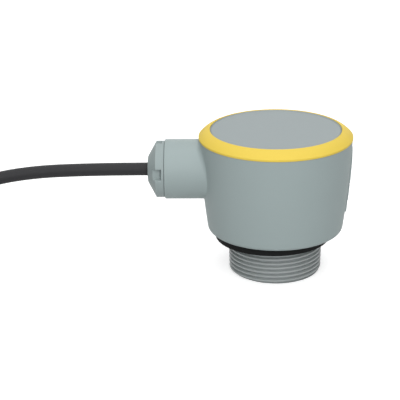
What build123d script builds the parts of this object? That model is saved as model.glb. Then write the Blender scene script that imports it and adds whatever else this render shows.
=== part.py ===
from build123d import *
import os
from math import cos, pi, radians, sin, tan

# Compact radar level sensor with a threaded antenna below and a fixed cable at its side.
# Millimetres. The origin is on the thread's axis at the sealing plane, the gasket's lower face.
# +Z points up, away from the tank. The cable neck points along -X.

# Process thread, pipe size G 1 1/2, plain at its crest diameter
THREAD_R = 23.9
THREAD_LENGTH = 17.8
THREAD_CHAMFER = 1.5
RELIEF_DEPTH = 1.6
RELIEF_R = THREAD_R - RELIEF_DEPTH
FLOOR_Z = -THREAD_LENGTH

# Flat gasket, pushed aside on the thread by its free play
GASKET_THICKNESS = 4.5
GASKET_WIDTH = 3.5
GASKET_PLAY = 1.4
GASKET_ASIDE = 0.93
GASKET_SHIFT = GASKET_PLAY * GASKET_ASIDE
GASKET_BORE_R = THREAD_R + GASKET_PLAY
GASKET_R = GASKET_BORE_R + GASKET_WIDTH

# Housing shell
BASE_Z = GASKET_THICKNESS
BASE_R = 34.15
RIM_R = 38.5
SHELL_HEIGHT = 47.9
SIDE_BOW = 0.65
RIM_Z = BASE_Z + SHELL_HEIGHT
BASE_FILLET = 2.1
FLOOR_WALL = 5.0
SIDE_WALL = 3.0
FLOOR_TOP = BASE_Z + FLOOR_WALL
CAVITY_R = BASE_R - SIDE_WALL

# Trim ring
TRIM_WIDTH = 5.68
TRIM_GAP = 0.12
TRIM_LIP = 0.9
TRIM_OVERHANG = 0.25
TRIM_CREST = 0.55
TRIM_CREST_DROP = 0.3
TRIM_EDGE = 0.15
TRIM_ROUND = 0.6
TRIM_R = RIM_R + TRIM_OVERHANG
RIB_HEIGHT = 0.8
RIB_WIDTH = 1.0
RIB_INSET = 1.9

# Lid, its seat and its round seal
LID_RISE = 4.4
LID_TOP_Z = RIM_Z + LID_RISE
LID_SUNK = 0.25
TRIM_TOP_Z = LID_TOP_Z + LID_SUNK
LID_R = TRIM_R - TRIM_WIDTH - TRIM_GAP
LID_BEVEL = 0.5
LID_SHOULDER = 1.1
LID_SHOULDER_Z = LID_TOP_Z - 2.7
LID_HEIGHT = 8.7
LID_WALL = 3.2
LID_SKIRT = 2.5
LID_GAP = 0.25
LID_BORE_R = LID_R + LID_SHOULDER + LID_GAP
SEAT_LEDGE = 1.1
SEAT_R = LID_BORE_R - SEAT_LEDGE
SEAT_Z = LID_TOP_Z - LID_HEIGHT
SEAL_CORD_R = 0.95
SEAL_GAP = 0.05
LID_SEAL_Z = SEAT_Z + 2.3

# Cable
CABLE_R = 3.3
CABLE_LENGTH = 5000.0
CABLE_GAP = 0.35
SQUEEZE_GAP = 0.05

# Side neck and the gland's spigot on its end
NECK_R = 15.15
NECK_UNDER_RIM = 1.32
NECK_Z = RIM_Z - NECK_R - NECK_UNDER_RIM
NECK_REACH = 18.31
NECK_EDGE = 0.7
NECK_WALL = 4.15
NECK_BORE_R = NECK_R - NECK_WALL
NECK_BLEND = 2.8
WEB_WALL = 2.6
SPIGOT_WALL = 2.85
SPIGOT_LENGTH = 4.1
GROMMET_WALL = 2.1
CLAW_WALL = 1.45
CLAW_PLAY = 0.1
GLAND_BORE_R = CABLE_R + GROMMET_WALL + 2 * SQUEEZE_GAP + CLAW_WALL + CLAW_PLAY
GLAND_BORE_DEPTH = 12.4
SPIGOT_R = GLAND_BORE_R + SPIGOT_WALL

# Four plain raised bars on the side away from the neck
BAR_COUNT = 4
BAR_BELOW_RIM = 5.0
BAR_TOP_Z = RIM_Z - BAR_BELOW_RIM
BAR_HEIGHT = 8.4
BAR_GAP = 0.8
BAR_WIDTH = 13.0
BAR_PROUD = 0.6

# Slip ring, clamping claws and grommet of the gland
SLIP_THICKNESS = 0.8
SLIP_GAP = 0.1
COLLAR_THICKNESS = 0.9
COLLAR_STEP = 0.6
CLAW_SLITS = 8
SLIT_WIDTH = 0.8
CLAW_RING = 1.6
CLAW_FLOOR_GAP = 1.0
COLLAR_EDGE = 0.3
GROMMET_SHORT = 0.6
GROMMET_EDGE = 0.4
GROMMET_TAPER = 0.8

# Gland nut
NUT_GAP = 0.4
THREAD_PLAY = 0.1
NOTCH_WALL = 0.9
NOTCH_DEPTH = 3.43
NOTCH_FLOOR_R = SPIGOT_R + THREAD_PLAY + NOTCH_WALL
NUT_R = NOTCH_FLOOR_R + NOTCH_DEPTH
NUT_RIM = 3.9
NUT_DEPTH = SPIGOT_LENGTH - NUT_GAP + COLLAR_THICKNESS + SLIP_THICKNESS + 2 * SLIP_GAP
NOSE_THICKNESS = 2.6
NUT_NOSE = NUT_DEPTH + NOSE_THICKNESS
NOSE_WALL = 2.85
NUT_NOSE_R = CABLE_R + CABLE_GAP + NOSE_WALL
NUT_NOSE_ROUND = 1.6
NUT_EDGE = 0.4
NOTCH_COUNT = 4
NOTCH_WIDTH = 5.3
NOTCH_RIM = 1.1
NOTCH_TURN = 7.7

# Fitting's sleeve, its seal and its ring nut
SLEEVE_STEP = 1.8
SLEEVE_R = RELIEF_R - SLEEVE_STEP
SLEEVE_PLAY = 0.1
SLEEVE_PROUD = 7.0
SLEEVE_TOP = FLOOR_TOP + SLEEVE_PROUD
SLEEVE_WALL = 3.0
ANTENNA_BORE_R = SLEEVE_R - SLEEVE_WALL
LENS_EDGE = 3.3
LENS_RISE = 5.0
LENS_RIM = 2.5
LENS_R = ANTENNA_BORE_R - LENS_RIM
FITTING_SEAL_Z = (BASE_Z + FLOOR_TOP) / 2

# Antenna horn
HORN_PLAY = 0.2
HORN_WALL = 1.5
HORN_MOUTH_RIM = 2.4
HORN_CLEAR = 0.5
GUIDE_R = 1.6
FLANGE_THICKNESS = 2.0
FLANGE_INSET = 0.2
THROAT_DEPTH = 2.0

# Screws
SCREW_COUNT = 3
SCREW_R = 0.8
SCREW_HEAD_R = 1.35
SCREW_HEAD = 0.9
SCREW_DEPTH = 3.0
SHANK_FIT = 0.02
SHANK_CLEAR = 0.1
SCREW_TIP_CLEAR = 0.2
HEAD_CLEAR = 0.15
DRIVER_CLEAR = 0.6

# Carrier, which goes in past the lid's seat and stands on the housing's bosses
CARRIER_GAP = 0.15
CARRIER_OUTER_R = min(CAVITY_R, SEAT_R) - CARRIER_GAP
CARRIER_WIDTH = 7.0
CARRIER_INNER_R = CARRIER_OUTER_R - CARRIER_WIDTH
CARRIER_HEIGHT = 13.8
CARRIER_PLATE = 2.4
CARRIER_FOOT_R = 2.0
BOSS_R = 2.1
BOSS_INSET = 2.2
BOSS_CIRCLE = CARRIER_OUTER_R - BOSS_INSET
BOSS_HEIGHT = 3.7
BOSS_TOP = FLOOR_TOP + BOSS_HEIGHT
BOSS_TURN = 60.0

# Ring nut on the fitting's sleeve
LOCKNUT_WIDTH = 2.5
LOCKNUT_R = SLEEVE_R + LOCKNUT_WIDTH
LOCKNUT_HEIGHT = 4.6
LOCKNUT_SLOTS = 6
LOCKNUT_SLOT_WIDTH = 3.4
LOCKNUT_SLOT_DEPTH = 1.2

# Boards
BOARD_THICKNESS = 1.2
RADAR_BOARD_STEP = 0.9
RADAR_BOARD_R = SLEEVE_R - RADAR_BOARD_STEP
RADAR_SCREW_CIRCLE = (SLEEVE_R + ANTENNA_BORE_R) / 2
MAIN_BOARD_STEP = 2.8
MAIN_BOARD_R = CARRIER_OUTER_R - MAIN_BOARD_STEP
MAIN_BOARD_THICKNESS = 1.6
MAIN_BOARD_Z = BOSS_TOP + CARRIER_HEIGHT
BOARD_SCREW_INSET = 2.2
BOARD_SCREW_CIRCLE = MAIN_BOARD_R - BOARD_SCREW_INSET
BOARD_SCREW_TURN = 120.0
CHIP_SIDE = 9.0
CHIP_HEIGHT = 1.0
SHIELD_SIDE = 20.0
SHIELD_HEIGHT = 3.6
SHIELD_WALL = 0.4
SHIELD_ROUND = 1.0
LINK_WIDTH = 10.0
LINK_DEPTH = 2.5
LINK_GAP = 2.95
LINK_Y = (SHIELD_SIDE + LINK_DEPTH) / 2 + LINK_GAP

# Terminal block and inner leads
TERMINAL_INSET = 12.2
TERMINAL_X = TERMINAL_INSET - MAIN_BOARD_R
TERMINAL_LENGTH = 9.0
TERMINAL_WIDTH = 11.0
TERMINAL_HEIGHT = 10.0
TERMINAL_EDGE = 0.6
POLE_PITCH = 5.0
CORE_R = 1.1
CORE_SPACING = 2.6
CORE_CLEAR = 0.2
TERMINAL_HOLE_R = CORE_R + CORE_CLEAR
TERMINAL_HOLE_DEPTH = 5.5
TERMINAL_HOLE_HEIGHT = 4.6
TERMINAL_SCREW_R = 1.7
TERMINAL_SCREW_DEPTH = 1.8
TERMINAL_HEAD = 1.3
SCREW_SLOT = 0.5
LEAD_SEAT_GAP = 1.0
LEAD_STRAIGHT = 6.0
SHEATH_PROUD = 1.0

# Larger parts on the main board
CHOKE_R = 6.0
CHOKE_HEIGHT = 7.0
CHOKE_FLANGE = 1.4
CHOKE_FLANGE_EDGE = 1.0
CHOKE_SLOPE = 0.4
CHOKE_INSET = 17.2
CHOKE_PLACE = (MAIN_BOARD_R - CHOKE_INSET, -8.5)
CAPACITOR_R = 3.2
CAPACITOR_HEIGHT = 10.0
CAPACITOR_COUNT = 3
CAPACITOR_GAP = 1.6
CAPACITOR_PITCH = 2 * CAPACITOR_R + CAPACITOR_GAP
CAPACITOR_INSET = 13.2
CAPACITOR_X = MAIN_BOARD_R - CHOKE_INSET + CHOKE_R
CAPACITOR_Y = MAIN_BOARD_R - CAPACITOR_INSET
CRIMP = 0.4
CRIMP_Z = 1.6
PROCESSOR_SIDE = 10.0
PROCESSOR_HEIGHT = 1.4
PROCESSOR_EDGE = 0.3
PROCESSOR_INSET = 12.7
PROCESSOR_PLACE = (-3.0, PROCESSOR_INSET - MAIN_BOARD_R)

# Coil of the cable's unseen length, its ties and the cable's bare end
LAYERS = 4
TURNS_PER_LAYER = 4.25
TURN_GAP = 0.15
TURN_PITCH = 2 * CABLE_R + TURN_GAP
COIL_X = -216.0
COIL_START_Y = CABLE_R - TRIM_R
TIE_TURNS = (30.0, 150.0)
TIE_THICKNESS = 1.0
TIE_WIDTH = 4.6
TIE_GAP = 0.1
TIE_HEAD = 3.6
TIE_HEAD_SUNK = 0.3
TIE_HEAD_EDGE = 0.8
TIE_HEAD_HEIGHT = 5.6
TAIL_LENGTH = 53.0
END_CORE_OUT = 7.2
END_CORE_SPREAD = 3.4
SLEEVE_LENGTH = 8.0
STEM_R = 0.8
COLLAR_R = 1.5
COLLAR_LENGTH = 2.0


def side_radius(height):
    """Outside radius of the housing's side: a straight taper with a slight outward bow."""
    share = (height - BASE_Z) / SHELL_HEIGHT
    return BASE_R + (RIM_R - BASE_R) * share + 4 * SIDE_BOW * share * (1 - share)


# Places along the neck, as distances from the thread's axis
NECK_END = side_radius(NECK_Z) + NECK_REACH
WEB_INNER = NECK_END + SPIGOT_LENGTH - GLAND_BORE_DEPTH - WEB_WALL
CABLE_START = WEB_INNER - SHEATH_PROUD
RADAR_BOARD_Z = SLEEVE_TOP + FLANGE_THICKNESS

RING_Z = Axis((0, 0, 0), (0, 0, 1))
GLAND_AXIS = Axis((0, 0, NECK_Z), (1, 0, 0))


def turned(*points):
    """Solid of revolution about Z from (radius, height) points."""
    return revolve(Plane.XZ * make_face(Polyline(*points, close=True)), RING_Z)


def turned_neck(*points):
    """Solid of revolution about the neck's axis from (distance along -X, radius) points."""
    placed = [(-along, NECK_Z + radius) for along, radius in points]
    return revolve(Plane.XZ * make_face(Polyline(*placed, close=True)), GLAND_AXIS)


def neck_rod(radius, near, far):
    """Round bar on the neck's axis between two distances along -X."""
    return turned_neck((near, 0), (near, radius), (far, radius), (far, 0))


def ring_cord(radius, height, cord_r):
    """Round cord closed into a ring about Z."""
    return Pos(0, 0, height) * Torus(radius, cord_r)


def rod(radius, low, high, x=0.0, y=0.0):
    """Upright round bar between two heights."""
    return Pos(x, y, low) * Cylinder(radius, high - low, align=(Align.CENTER, Align.CENTER, Align.MIN))


def brick(length, width, low, high, x=0.0, y=0.0):
    """Upright block between two heights."""
    flat = (Align.CENTER, Align.CENTER, Align.MIN)
    return Pos(x, y, low) * Box(length, width, high - low, align=flat)


def around(count, radius, first=0.0):
    """Centres of a ring of places, as (x, y)."""
    angles = [radians(first + 360.0 * i / count) for i in range(count)]
    return [(radius * cos(a), radius * sin(a)) for a in angles]


def circle_at(shape, radius, along):
    """Round edges of a gland piece at one radius and one distance along the neck."""
    found = []
    for edge in shape.edges().filter_by(GeomType.CIRCLE):
        centre = edge.arc_center
        if abs(edge.radius - radius) < 0.01 and abs(centre.X + along) < 0.01:
            found.append(edge)
    return found


def circle_round(shape, radius, height):
    """Round edges about Z at one radius and one height."""
    found = []
    for edge in shape.edges().filter_by(GeomType.CIRCLE):
        if abs(edge.radius - radius) < 0.01 and abs(edge.arc_center.Z - height) < 0.01:
            found.append(edge)
    return found


def shell_profile(grown):
    """Half section of the housing's outside, grown by a distance, up to above the rim."""
    over_z = RIM_Z + NECK_BLEND + LID_RISE
    middle_z = (BASE_Z + over_z) / 2
    over_r = side_radius(over_z) + grown
    side = ThreePointArc(
        (BASE_R + grown, BASE_Z), (side_radius(middle_z) + grown, middle_z), (over_r, over_z)
    )
    top = Polyline((over_r, over_z), (0, over_z), (0, BASE_Z))
    base = Line((0, BASE_Z), (BASE_R + grown, BASE_Z))
    return Plane.XZ * make_face(base.edges() + side.edges() + top.edges())


def raised_bars():
    """Four plain bars that follow the shell's side on the side away from the neck."""
    skin = revolve(shell_profile(BAR_PROUD), RING_Z)
    bars = []
    for i in range(BAR_COUNT):
        top = BAR_TOP_Z - i * (BAR_HEIGHT + BAR_GAP)
        slab = brick(RIM_R, BAR_WIDTH, top - BAR_HEIGHT, top, x=RIM_R)
        bars.append(skin & slab)
    return bars


def housing():
    """Moulded shell: tapered cup, side neck with the gland's spigot, floor hole, bosses and rim rib."""
    cup = revolve(shell_profile(0.0), RING_Z)
    cup = fillet(cup.edges().filter_by(GeomType.CIRCLE).sort_by(Axis.Z)[0], BASE_FILLET)
    neck = neck_rod(NECK_R, 0, NECK_END)
    neck = fillet(circle_at(neck, NECK_R, NECK_END), NECK_EDGE)
    body = cup + neck
    joint_edges = []
    for edge in body.edges():
        spot = edge @ 0.5
        from_axis = (spot.Y**2 + (spot.Z - NECK_Z) ** 2) ** 0.5
        if abs(from_axis - NECK_R) < 0.01 and -NECK_END + NECK_EDGE < spot.X - 0.1:
            joint_edges.append(edge)
    body = fillet(joint_edges, NECK_BLEND)
    for bar in raised_bars():
        body += bar
    body -= rod(RIM_R * 2, RIM_Z, RIM_Z + 2 * NECK_R)
    rib_outer = RIM_R - RIB_INSET
    rib = rod(rib_outer, RIM_Z, RIM_Z + RIB_HEIGHT) - rod(rib_outer - RIB_WIDTH, RIM_Z, RIM_Z + RIB_HEIGHT)
    spigot_end = NECK_END + SPIGOT_LENGTH
    body += rib + neck_rod(SPIGOT_R, NECK_END - 1, spigot_end)
    body -= turned(
        (0, FLOOR_TOP),
        (CAVITY_R, FLOOR_TOP),
        (SEAT_R, SEAT_Z),
        (LID_BORE_R, SEAT_Z),
        (LID_BORE_R, RIM_Z + RIB_HEIGHT),
        (0, RIM_Z + RIB_HEIGHT),
    )
    body -= rod(SLEEVE_R + SLEEVE_PLAY, BASE_Z - 1, FLOOR_TOP + 1)
    body -= neck_rod(NECK_BORE_R, 0, WEB_INNER)
    bore_floor = spigot_end - GLAND_BORE_DEPTH
    body -= neck_rod(GLAND_BORE_R, bore_floor, spigot_end)
    body -= neck_rod(CABLE_R + CABLE_GAP, WEB_INNER - 1, bore_floor + 1)
    for x, y in around(SCREW_COUNT, BOSS_CIRCLE, BOSS_TURN):
        body += rod(BOSS_R, FLOOR_TOP - 1, BOSS_TOP, x, y)
        body -= rod(SCREW_R, BOSS_TOP - SCREW_DEPTH, BOSS_TOP, x, y)
    return body


def lid_disc():
    """Round lid with a bevelled face, a skirt and a groove for its seal."""
    skirt_r = LID_R + LID_SHOULDER
    lid = turned(
        (0, LID_TOP_Z),
        (LID_R - LID_BEVEL, LID_TOP_Z),
        (LID_R, LID_TOP_Z - LID_BEVEL),
        (LID_R, LID_SHOULDER_Z),
        (skirt_r, LID_SHOULDER_Z),
        (skirt_r, SEAT_Z),
        (skirt_r - LID_SKIRT, SEAT_Z),
        (skirt_r - LID_SKIRT, LID_TOP_Z - LID_WALL),
        (0, LID_TOP_Z - LID_WALL),
    )
    half = SEAL_CORD_R + SEAL_GAP
    groove_r = LID_BORE_R - 2 * SEAL_CORD_R - 2 * SEAL_GAP
    groove = rod(skirt_r + 1, LID_SEAL_Z - half, LID_SEAL_Z + half) - rod(
        groove_r, LID_SEAL_Z - half, LID_SEAL_Z + half
    )
    return lid - groove


def trim_ring():
    """Ring with a sloped top face, a lip over the shell's rim and a groove over the rim's rib."""
    inner = LID_R + TRIM_GAP
    outer = TRIM_R
    low = RIM_Z + TRIM_GAP
    ring = turned(
        (inner + LID_SHOULDER + TRIM_GAP, low),
        (outer - TRIM_EDGE, low),
        (outer, low + TRIM_EDGE),
        (outer, low + TRIM_LIP),
        (inner + TRIM_CREST, TRIM_TOP_Z),
        (inner, TRIM_TOP_Z - TRIM_CREST_DROP),
        (inner, LID_SHOULDER_Z + TRIM_GAP),
        (inner + LID_SHOULDER + TRIM_GAP, LID_SHOULDER_Z + TRIM_GAP),
    )
    ring = fillet(circle_round(ring, outer, low + TRIM_LIP), TRIM_ROUND)
    rib_outer = RIM_R - RIB_INSET + TRIM_GAP
    rib_inner = RIM_R - RIB_INSET - RIB_WIDTH - TRIM_GAP
    rib_top = RIM_Z + RIB_HEIGHT + TRIM_GAP
    return ring - (rod(rib_outer, RIM_Z, rib_top) - rod(rib_inner, RIM_Z, rib_top))


def process_gasket():
    """Flat rubber ring that lies off centre on the thread by its play."""
    outside = rod(GASKET_R, 0, GASKET_THICKNESS, x=-GASKET_SHIFT)
    return outside - rod(GASKET_BORE_R, 0, GASKET_THICKNESS, x=-GASKET_SHIFT)


def process_fitting():
    """Threaded body, plain at its crest, closed below by a lens that bulges up inside."""
    inside_floor = FLOOR_Z + LENS_EDGE
    body = turned(
        (0, FLOOR_Z),
        (THREAD_R - THREAD_CHAMFER, FLOOR_Z),
        (THREAD_R, FLOOR_Z + THREAD_CHAMFER),
        (THREAD_R, 0),
        (RELIEF_R, 0),
        (RELIEF_R, BASE_Z),
        (SLEEVE_R, BASE_Z),
        (SLEEVE_R, SLEEVE_TOP),
        (ANTENNA_BORE_R, SLEEVE_TOP),
        (ANTENNA_BORE_R, inside_floor),
        (0, inside_floor),
    )
    dome_r = (LENS_R**2 + LENS_RISE**2) / (2 * LENS_RISE)
    dome = Pos(0, 0, inside_floor + LENS_RISE - dome_r) * Sphere(dome_r)
    body += dome & rod(LENS_R, inside_floor - 1, inside_floor + LENS_RISE)
    half = SEAL_CORD_R + SEAL_GAP
    groove_r = SLEEVE_R + SLEEVE_PLAY - 2 * SEAL_CORD_R - 2 * SEAL_GAP
    body -= rod(SLEEVE_R + 1, FITTING_SEAL_Z - half, FITTING_SEAL_Z + half) - rod(
        groove_r, FITTING_SEAL_Z - half, FITTING_SEAL_Z + half
    )
    for x, y in around(SCREW_COUNT, RADAR_SCREW_CIRCLE):
        body -= rod(SCREW_R, SLEEVE_TOP - SCREW_DEPTH, SLEEVE_TOP, x, y)
    return body


def seal_ring(bore_r, height):
    """Round cord seal that fills its groove inside a bore."""
    return ring_cord(bore_r - SEAL_GAP - SEAL_CORD_R, height, SEAL_CORD_R)


def fitting_locknut():
    """Slotted ring nut on the fitting's sleeve, tight against the housing floor."""
    top = FLOOR_TOP + LOCKNUT_HEIGHT
    nut = rod(LOCKNUT_R, FLOOR_TOP, top) - rod(SLEEVE_R + SLEEVE_PLAY / 2, FLOOR_TOP, top)
    for i in range(LOCKNUT_SLOTS):
        slot = brick(2 * LOCKNUT_SLOT_DEPTH, LOCKNUT_SLOT_WIDTH, FLOOR_TOP, top, x=LOCKNUT_R)
        nut -= Rot(0, 0, 360.0 * i / LOCKNUT_SLOTS) * slot
    return nut


def antenna_horn():
    """Turned horn: mouth above the lens, throat at the chip, flange on the fitting's sleeve."""
    mouth_r = ANTENNA_BORE_R - HORN_PLAY
    mouth_z = FLOOR_Z + LENS_EDGE + HORN_CLEAR
    inner_mouth = mouth_r - HORN_WALL
    flange_top = SLEEVE_TOP + FLANGE_THICKNESS
    throat_z = SLEEVE_TOP - THROAT_DEPTH
    horn = turned(
        (inner_mouth, mouth_z),
        (mouth_r, mouth_z),
        (mouth_r, mouth_z + HORN_MOUTH_RIM),
        (GUIDE_R + 3 * HORN_WALL, SLEEVE_TOP),
        (SLEEVE_R - FLANGE_INSET, SLEEVE_TOP),
        (SLEEVE_R - FLANGE_INSET, flange_top),
        (GUIDE_R, flange_top),
        (GUIDE_R, throat_z),
    )
    for x, y in around(SCREW_COUNT, RADAR_SCREW_CIRCLE):
        horn -= rod(SCREW_R + SHANK_CLEAR, SLEEVE_TOP - 1, flange_top + 1, x, y)
    return horn


def radar_board():
    """Round front-end board on the horn's flange."""
    low = RADAR_BOARD_Z
    board = rod(RADAR_BOARD_R, low, low + BOARD_THICKNESS)
    for x, y in around(SCREW_COUNT, RADAR_SCREW_CIRCLE):
        board -= rod(SCREW_R + SHANK_CLEAR, low - 1, low + BOARD_THICKNESS + 1, x, y)
    return board


def radar_chip():
    """Flat square front-end chip over the horn's throat."""
    low = RADAR_BOARD_Z + BOARD_THICKNESS
    return brick(CHIP_SIDE, CHIP_SIDE, low, low + CHIP_HEIGHT)


def radar_shield():
    """Sheet can over the radar chip, open below."""
    low = RADAR_BOARD_Z + BOARD_THICKNESS
    inner = SHIELD_SIDE - 2 * SHIELD_WALL
    can = brick(SHIELD_SIDE, SHIELD_SIDE, low, low + SHIELD_HEIGHT)
    can = fillet(can.edges().filter_by(Axis.Z), SHIELD_ROUND)
    return can - brick(inner, inner, low, low + SHIELD_HEIGHT - SHIELD_WALL)


def screw(head_r, head, shank_r, depth, x, y, under_head):
    """Flat-headed round screw, head up."""
    shank = rod(shank_r, under_head - depth, under_head, x, y)
    return shank + rod(head_r, under_head, under_head + head, x, y)


def radar_screws():
    """Screws through board and flange into the fitting's sleeve."""
    under = RADAR_BOARD_Z + BOARD_THICKNESS
    depth = BOARD_THICKNESS + FLANGE_THICKNESS + SCREW_DEPTH - SCREW_TIP_CLEAR
    places = around(SCREW_COUNT, RADAR_SCREW_CIRCLE)
    return [screw(SCREW_HEAD_R, SCREW_HEAD, SCREW_R - SHANK_FIT, depth, x, y, under) for x, y in places]


def electronics_carrier():
    """Moulded ring under the main board on three legs that stand on the housing's bosses."""
    plate_top = MAIN_BOARD_Z
    plate_low = plate_top - CARRIER_PLATE
    plate = rod(CARRIER_OUTER_R, plate_low, plate_top) - rod(CARRIER_INNER_R, plate_low, plate_top)
    for x, y in around(SCREW_COUNT, BOSS_CIRCLE, BOSS_TURN):
        leg = rod(CARRIER_FOOT_R, BOSS_TOP, plate_top, x, y)
        plate += leg
        plate -= rod(SCREW_HEAD_R + HEAD_CLEAR, BOSS_TOP + CARRIER_PLATE, plate_top, x, y)
        plate -= rod(SCREW_R + SHANK_CLEAR, BOSS_TOP, plate_top, x, y)
    for x, y in around(SCREW_COUNT, BOARD_SCREW_CIRCLE, BOARD_SCREW_TURN):
        plate -= rod(SCREW_R, plate_low, plate_top, x, y)
    return plate


def carrier_screws():
    """Screws at the bottom of the carrier's legs, into the housing's bosses."""
    under = BOSS_TOP + CARRIER_PLATE
    places = around(SCREW_COUNT, BOSS_CIRCLE, BOSS_TURN)
    depth = CARRIER_PLATE + SCREW_DEPTH - SCREW_TIP_CLEAR
    return [screw(SCREW_HEAD_R, SCREW_HEAD, SCREW_R - SHANK_FIT, depth, x, y, under) for x, y in places]


def main_board():
    """Round main board on the carrier, notched over the carrier's screws."""
    top = MAIN_BOARD_Z + MAIN_BOARD_THICKNESS
    board = rod(MAIN_BOARD_R, MAIN_BOARD_Z, top)
    for x, y in around(SCREW_COUNT, BOSS_CIRCLE, BOSS_TURN):
        board -= rod(SCREW_HEAD_R + DRIVER_CLEAR, MAIN_BOARD_Z, top, x, y)
    for x, y in around(SCREW_COUNT, BOARD_SCREW_CIRCLE, BOARD_SCREW_TURN):
        board -= rod(SCREW_R + SHANK_CLEAR, MAIN_BOARD_Z, top, x, y)
    return board


def board_screws():
    """Screws that hold the main board on the carrier."""
    under = MAIN_BOARD_Z + MAIN_BOARD_THICKNESS
    depth = MAIN_BOARD_THICKNESS + CARRIER_PLATE - SCREW_TIP_CLEAR
    places = around(SCREW_COUNT, BOARD_SCREW_CIRCLE, BOARD_SCREW_TURN)
    return [screw(SCREW_HEAD_R, SCREW_HEAD, SCREW_R - SHANK_FIT, depth, x, y, under) for x, y in places]


def terminal_block():
    """Two-pole terminal: wire holes towards the neck, screw wells on top."""
    low = MAIN_BOARD_Z + MAIN_BOARD_THICKNESS
    block = brick(TERMINAL_LENGTH, TERMINAL_WIDTH, low, low + TERMINAL_HEIGHT, x=TERMINAL_X)
    block = chamfer(block.edges().group_by(Axis.Z)[-1], TERMINAL_EDGE)
    face_x = TERMINAL_X - TERMINAL_LENGTH / 2
    for side in (-1, 1):
        y = side * POLE_PITCH / 2
        hole = Plane((face_x, y, low + TERMINAL_HOLE_HEIGHT), x_dir=(0, 1, 0), z_dir=(1, 0, 0)) * Cylinder(
            TERMINAL_HOLE_R, TERMINAL_HOLE_DEPTH, align=(Align.CENTER, Align.CENTER, Align.MIN)
        )
        block -= hole
        well_floor = low + TERMINAL_HEIGHT - TERMINAL_SCREW_DEPTH
        block -= rod(TERMINAL_SCREW_R + SHANK_CLEAR, well_floor, low + TERMINAL_HEIGHT, TERMINAL_X, y)
    return block


def terminal_screws():
    """Slotted clamp screws in the terminal's wells."""
    low = MAIN_BOARD_Z + MAIN_BOARD_THICKNESS + TERMINAL_HEIGHT - TERMINAL_SCREW_DEPTH
    screws = []
    for side in (-1, 1):
        y = side * POLE_PITCH / 2
        top = low + TERMINAL_HEAD
        head = rod(TERMINAL_SCREW_R, low, top, TERMINAL_X, y)
        slot = brick(2 * TERMINAL_SCREW_R, SCREW_SLOT, top - SCREW_SLOT, top, TERMINAL_X, y)
        screws.append(head - slot)
    return screws


def power_choke():
    """Round choke with flanges and a waist where its winding sits."""
    low = MAIN_BOARD_Z + MAIN_BOARD_THICKNESS
    waist = CHOKE_R - CHOKE_FLANGE_EDGE
    flange = CHOKE_FLANGE
    step = CHOKE_FLANGE + CHOKE_SLOPE
    profile = [
        (0, low),
        (CHOKE_R, low),
        (CHOKE_R, low + flange),
        (waist, low + step),
        (waist, low + CHOKE_HEIGHT - step),
        (CHOKE_R, low + CHOKE_HEIGHT - flange),
        (CHOKE_R, low + CHOKE_HEIGHT),
        (0, low + CHOKE_HEIGHT),
    ]
    return Pos(*CHOKE_PLACE, 0) * turned(*profile)


def capacitors():
    """Three upright can capacitors with a crimped foot."""
    low = MAIN_BOARD_Z + MAIN_BOARD_THICKNESS
    cans = []
    for i in range(CAPACITOR_COUNT):
        can = turned(
            (0, low),
            (CAPACITOR_R, low),
            (CAPACITOR_R, low + CRIMP_Z - CRIMP),
            (CAPACITOR_R - CRIMP, low + CRIMP_Z),
            (CAPACITOR_R, low + CRIMP_Z + CRIMP),
            (CAPACITOR_R, low + CAPACITOR_HEIGHT - CRIMP),
            (CAPACITOR_R - CRIMP, low + CAPACITOR_HEIGHT),
            (0, low + CAPACITOR_HEIGHT),
        )
        cans.append(Pos(CAPACITOR_X - CAPACITOR_PITCH * i, CAPACITOR_Y, 0) * can)
    return cans


def processor():
    """Flat square chip on the main board."""
    low = MAIN_BOARD_Z + MAIN_BOARD_THICKNESS
    chip = brick(PROCESSOR_SIDE, PROCESSOR_SIDE, low, low + PROCESSOR_HEIGHT, *PROCESSOR_PLACE)
    return chamfer(chip.edges().group_by(Axis.Z)[-1], PROCESSOR_EDGE)


def board_link():
    """Pin header that stands between the two boards."""
    low = RADAR_BOARD_Z + BOARD_THICKNESS
    return brick(LINK_WIDTH, LINK_DEPTH, low, MAIN_BOARD_Z, y=LINK_Y)


def rounded_path(points):
    """Straight runs joined by tangent arcs, each as large as its two runs allow."""
    spots = [Vector(*p) for p in points]
    radii = []
    for before, corner, after in zip(spots, spots[1:], spots[2:]):
        into = corner - before
        away = after - corner
        turn = radians(into.get_angle(away))
        radii.append(0.45 * min(into.length, away.length) / tan(turn / 2))
    return FilletPolyline(*points, radius=radii), radii


def tube(path, radius):
    """Round bar along a path."""
    start = Plane(origin=path @ 0, z_dir=path % 0)
    return sweep(start * Circle(radius), path=path)


def inner_lead(side):
    """One core from the sheath's end to its pole of the terminal."""
    entry_z = MAIN_BOARD_Z + MAIN_BOARD_THICKNESS + TERMINAL_HOLE_HEIGHT
    entry_x = TERMINAL_X - TERMINAL_LENGTH / 2
    near = side * CORE_SPACING / 2
    far = side * POLE_PITCH / 2
    points = [
        (-CABLE_START, near, NECK_Z),
        (-CABLE_START + LEAD_STRAIGHT, near, NECK_Z),
        (entry_x - LEAD_STRAIGHT, far, entry_z),
        (entry_x + TERMINAL_HOLE_DEPTH - LEAD_SEAT_GAP, far, entry_z),
    ]
    path, _ = rounded_path(points)
    return tube(path, CORE_R)


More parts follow.
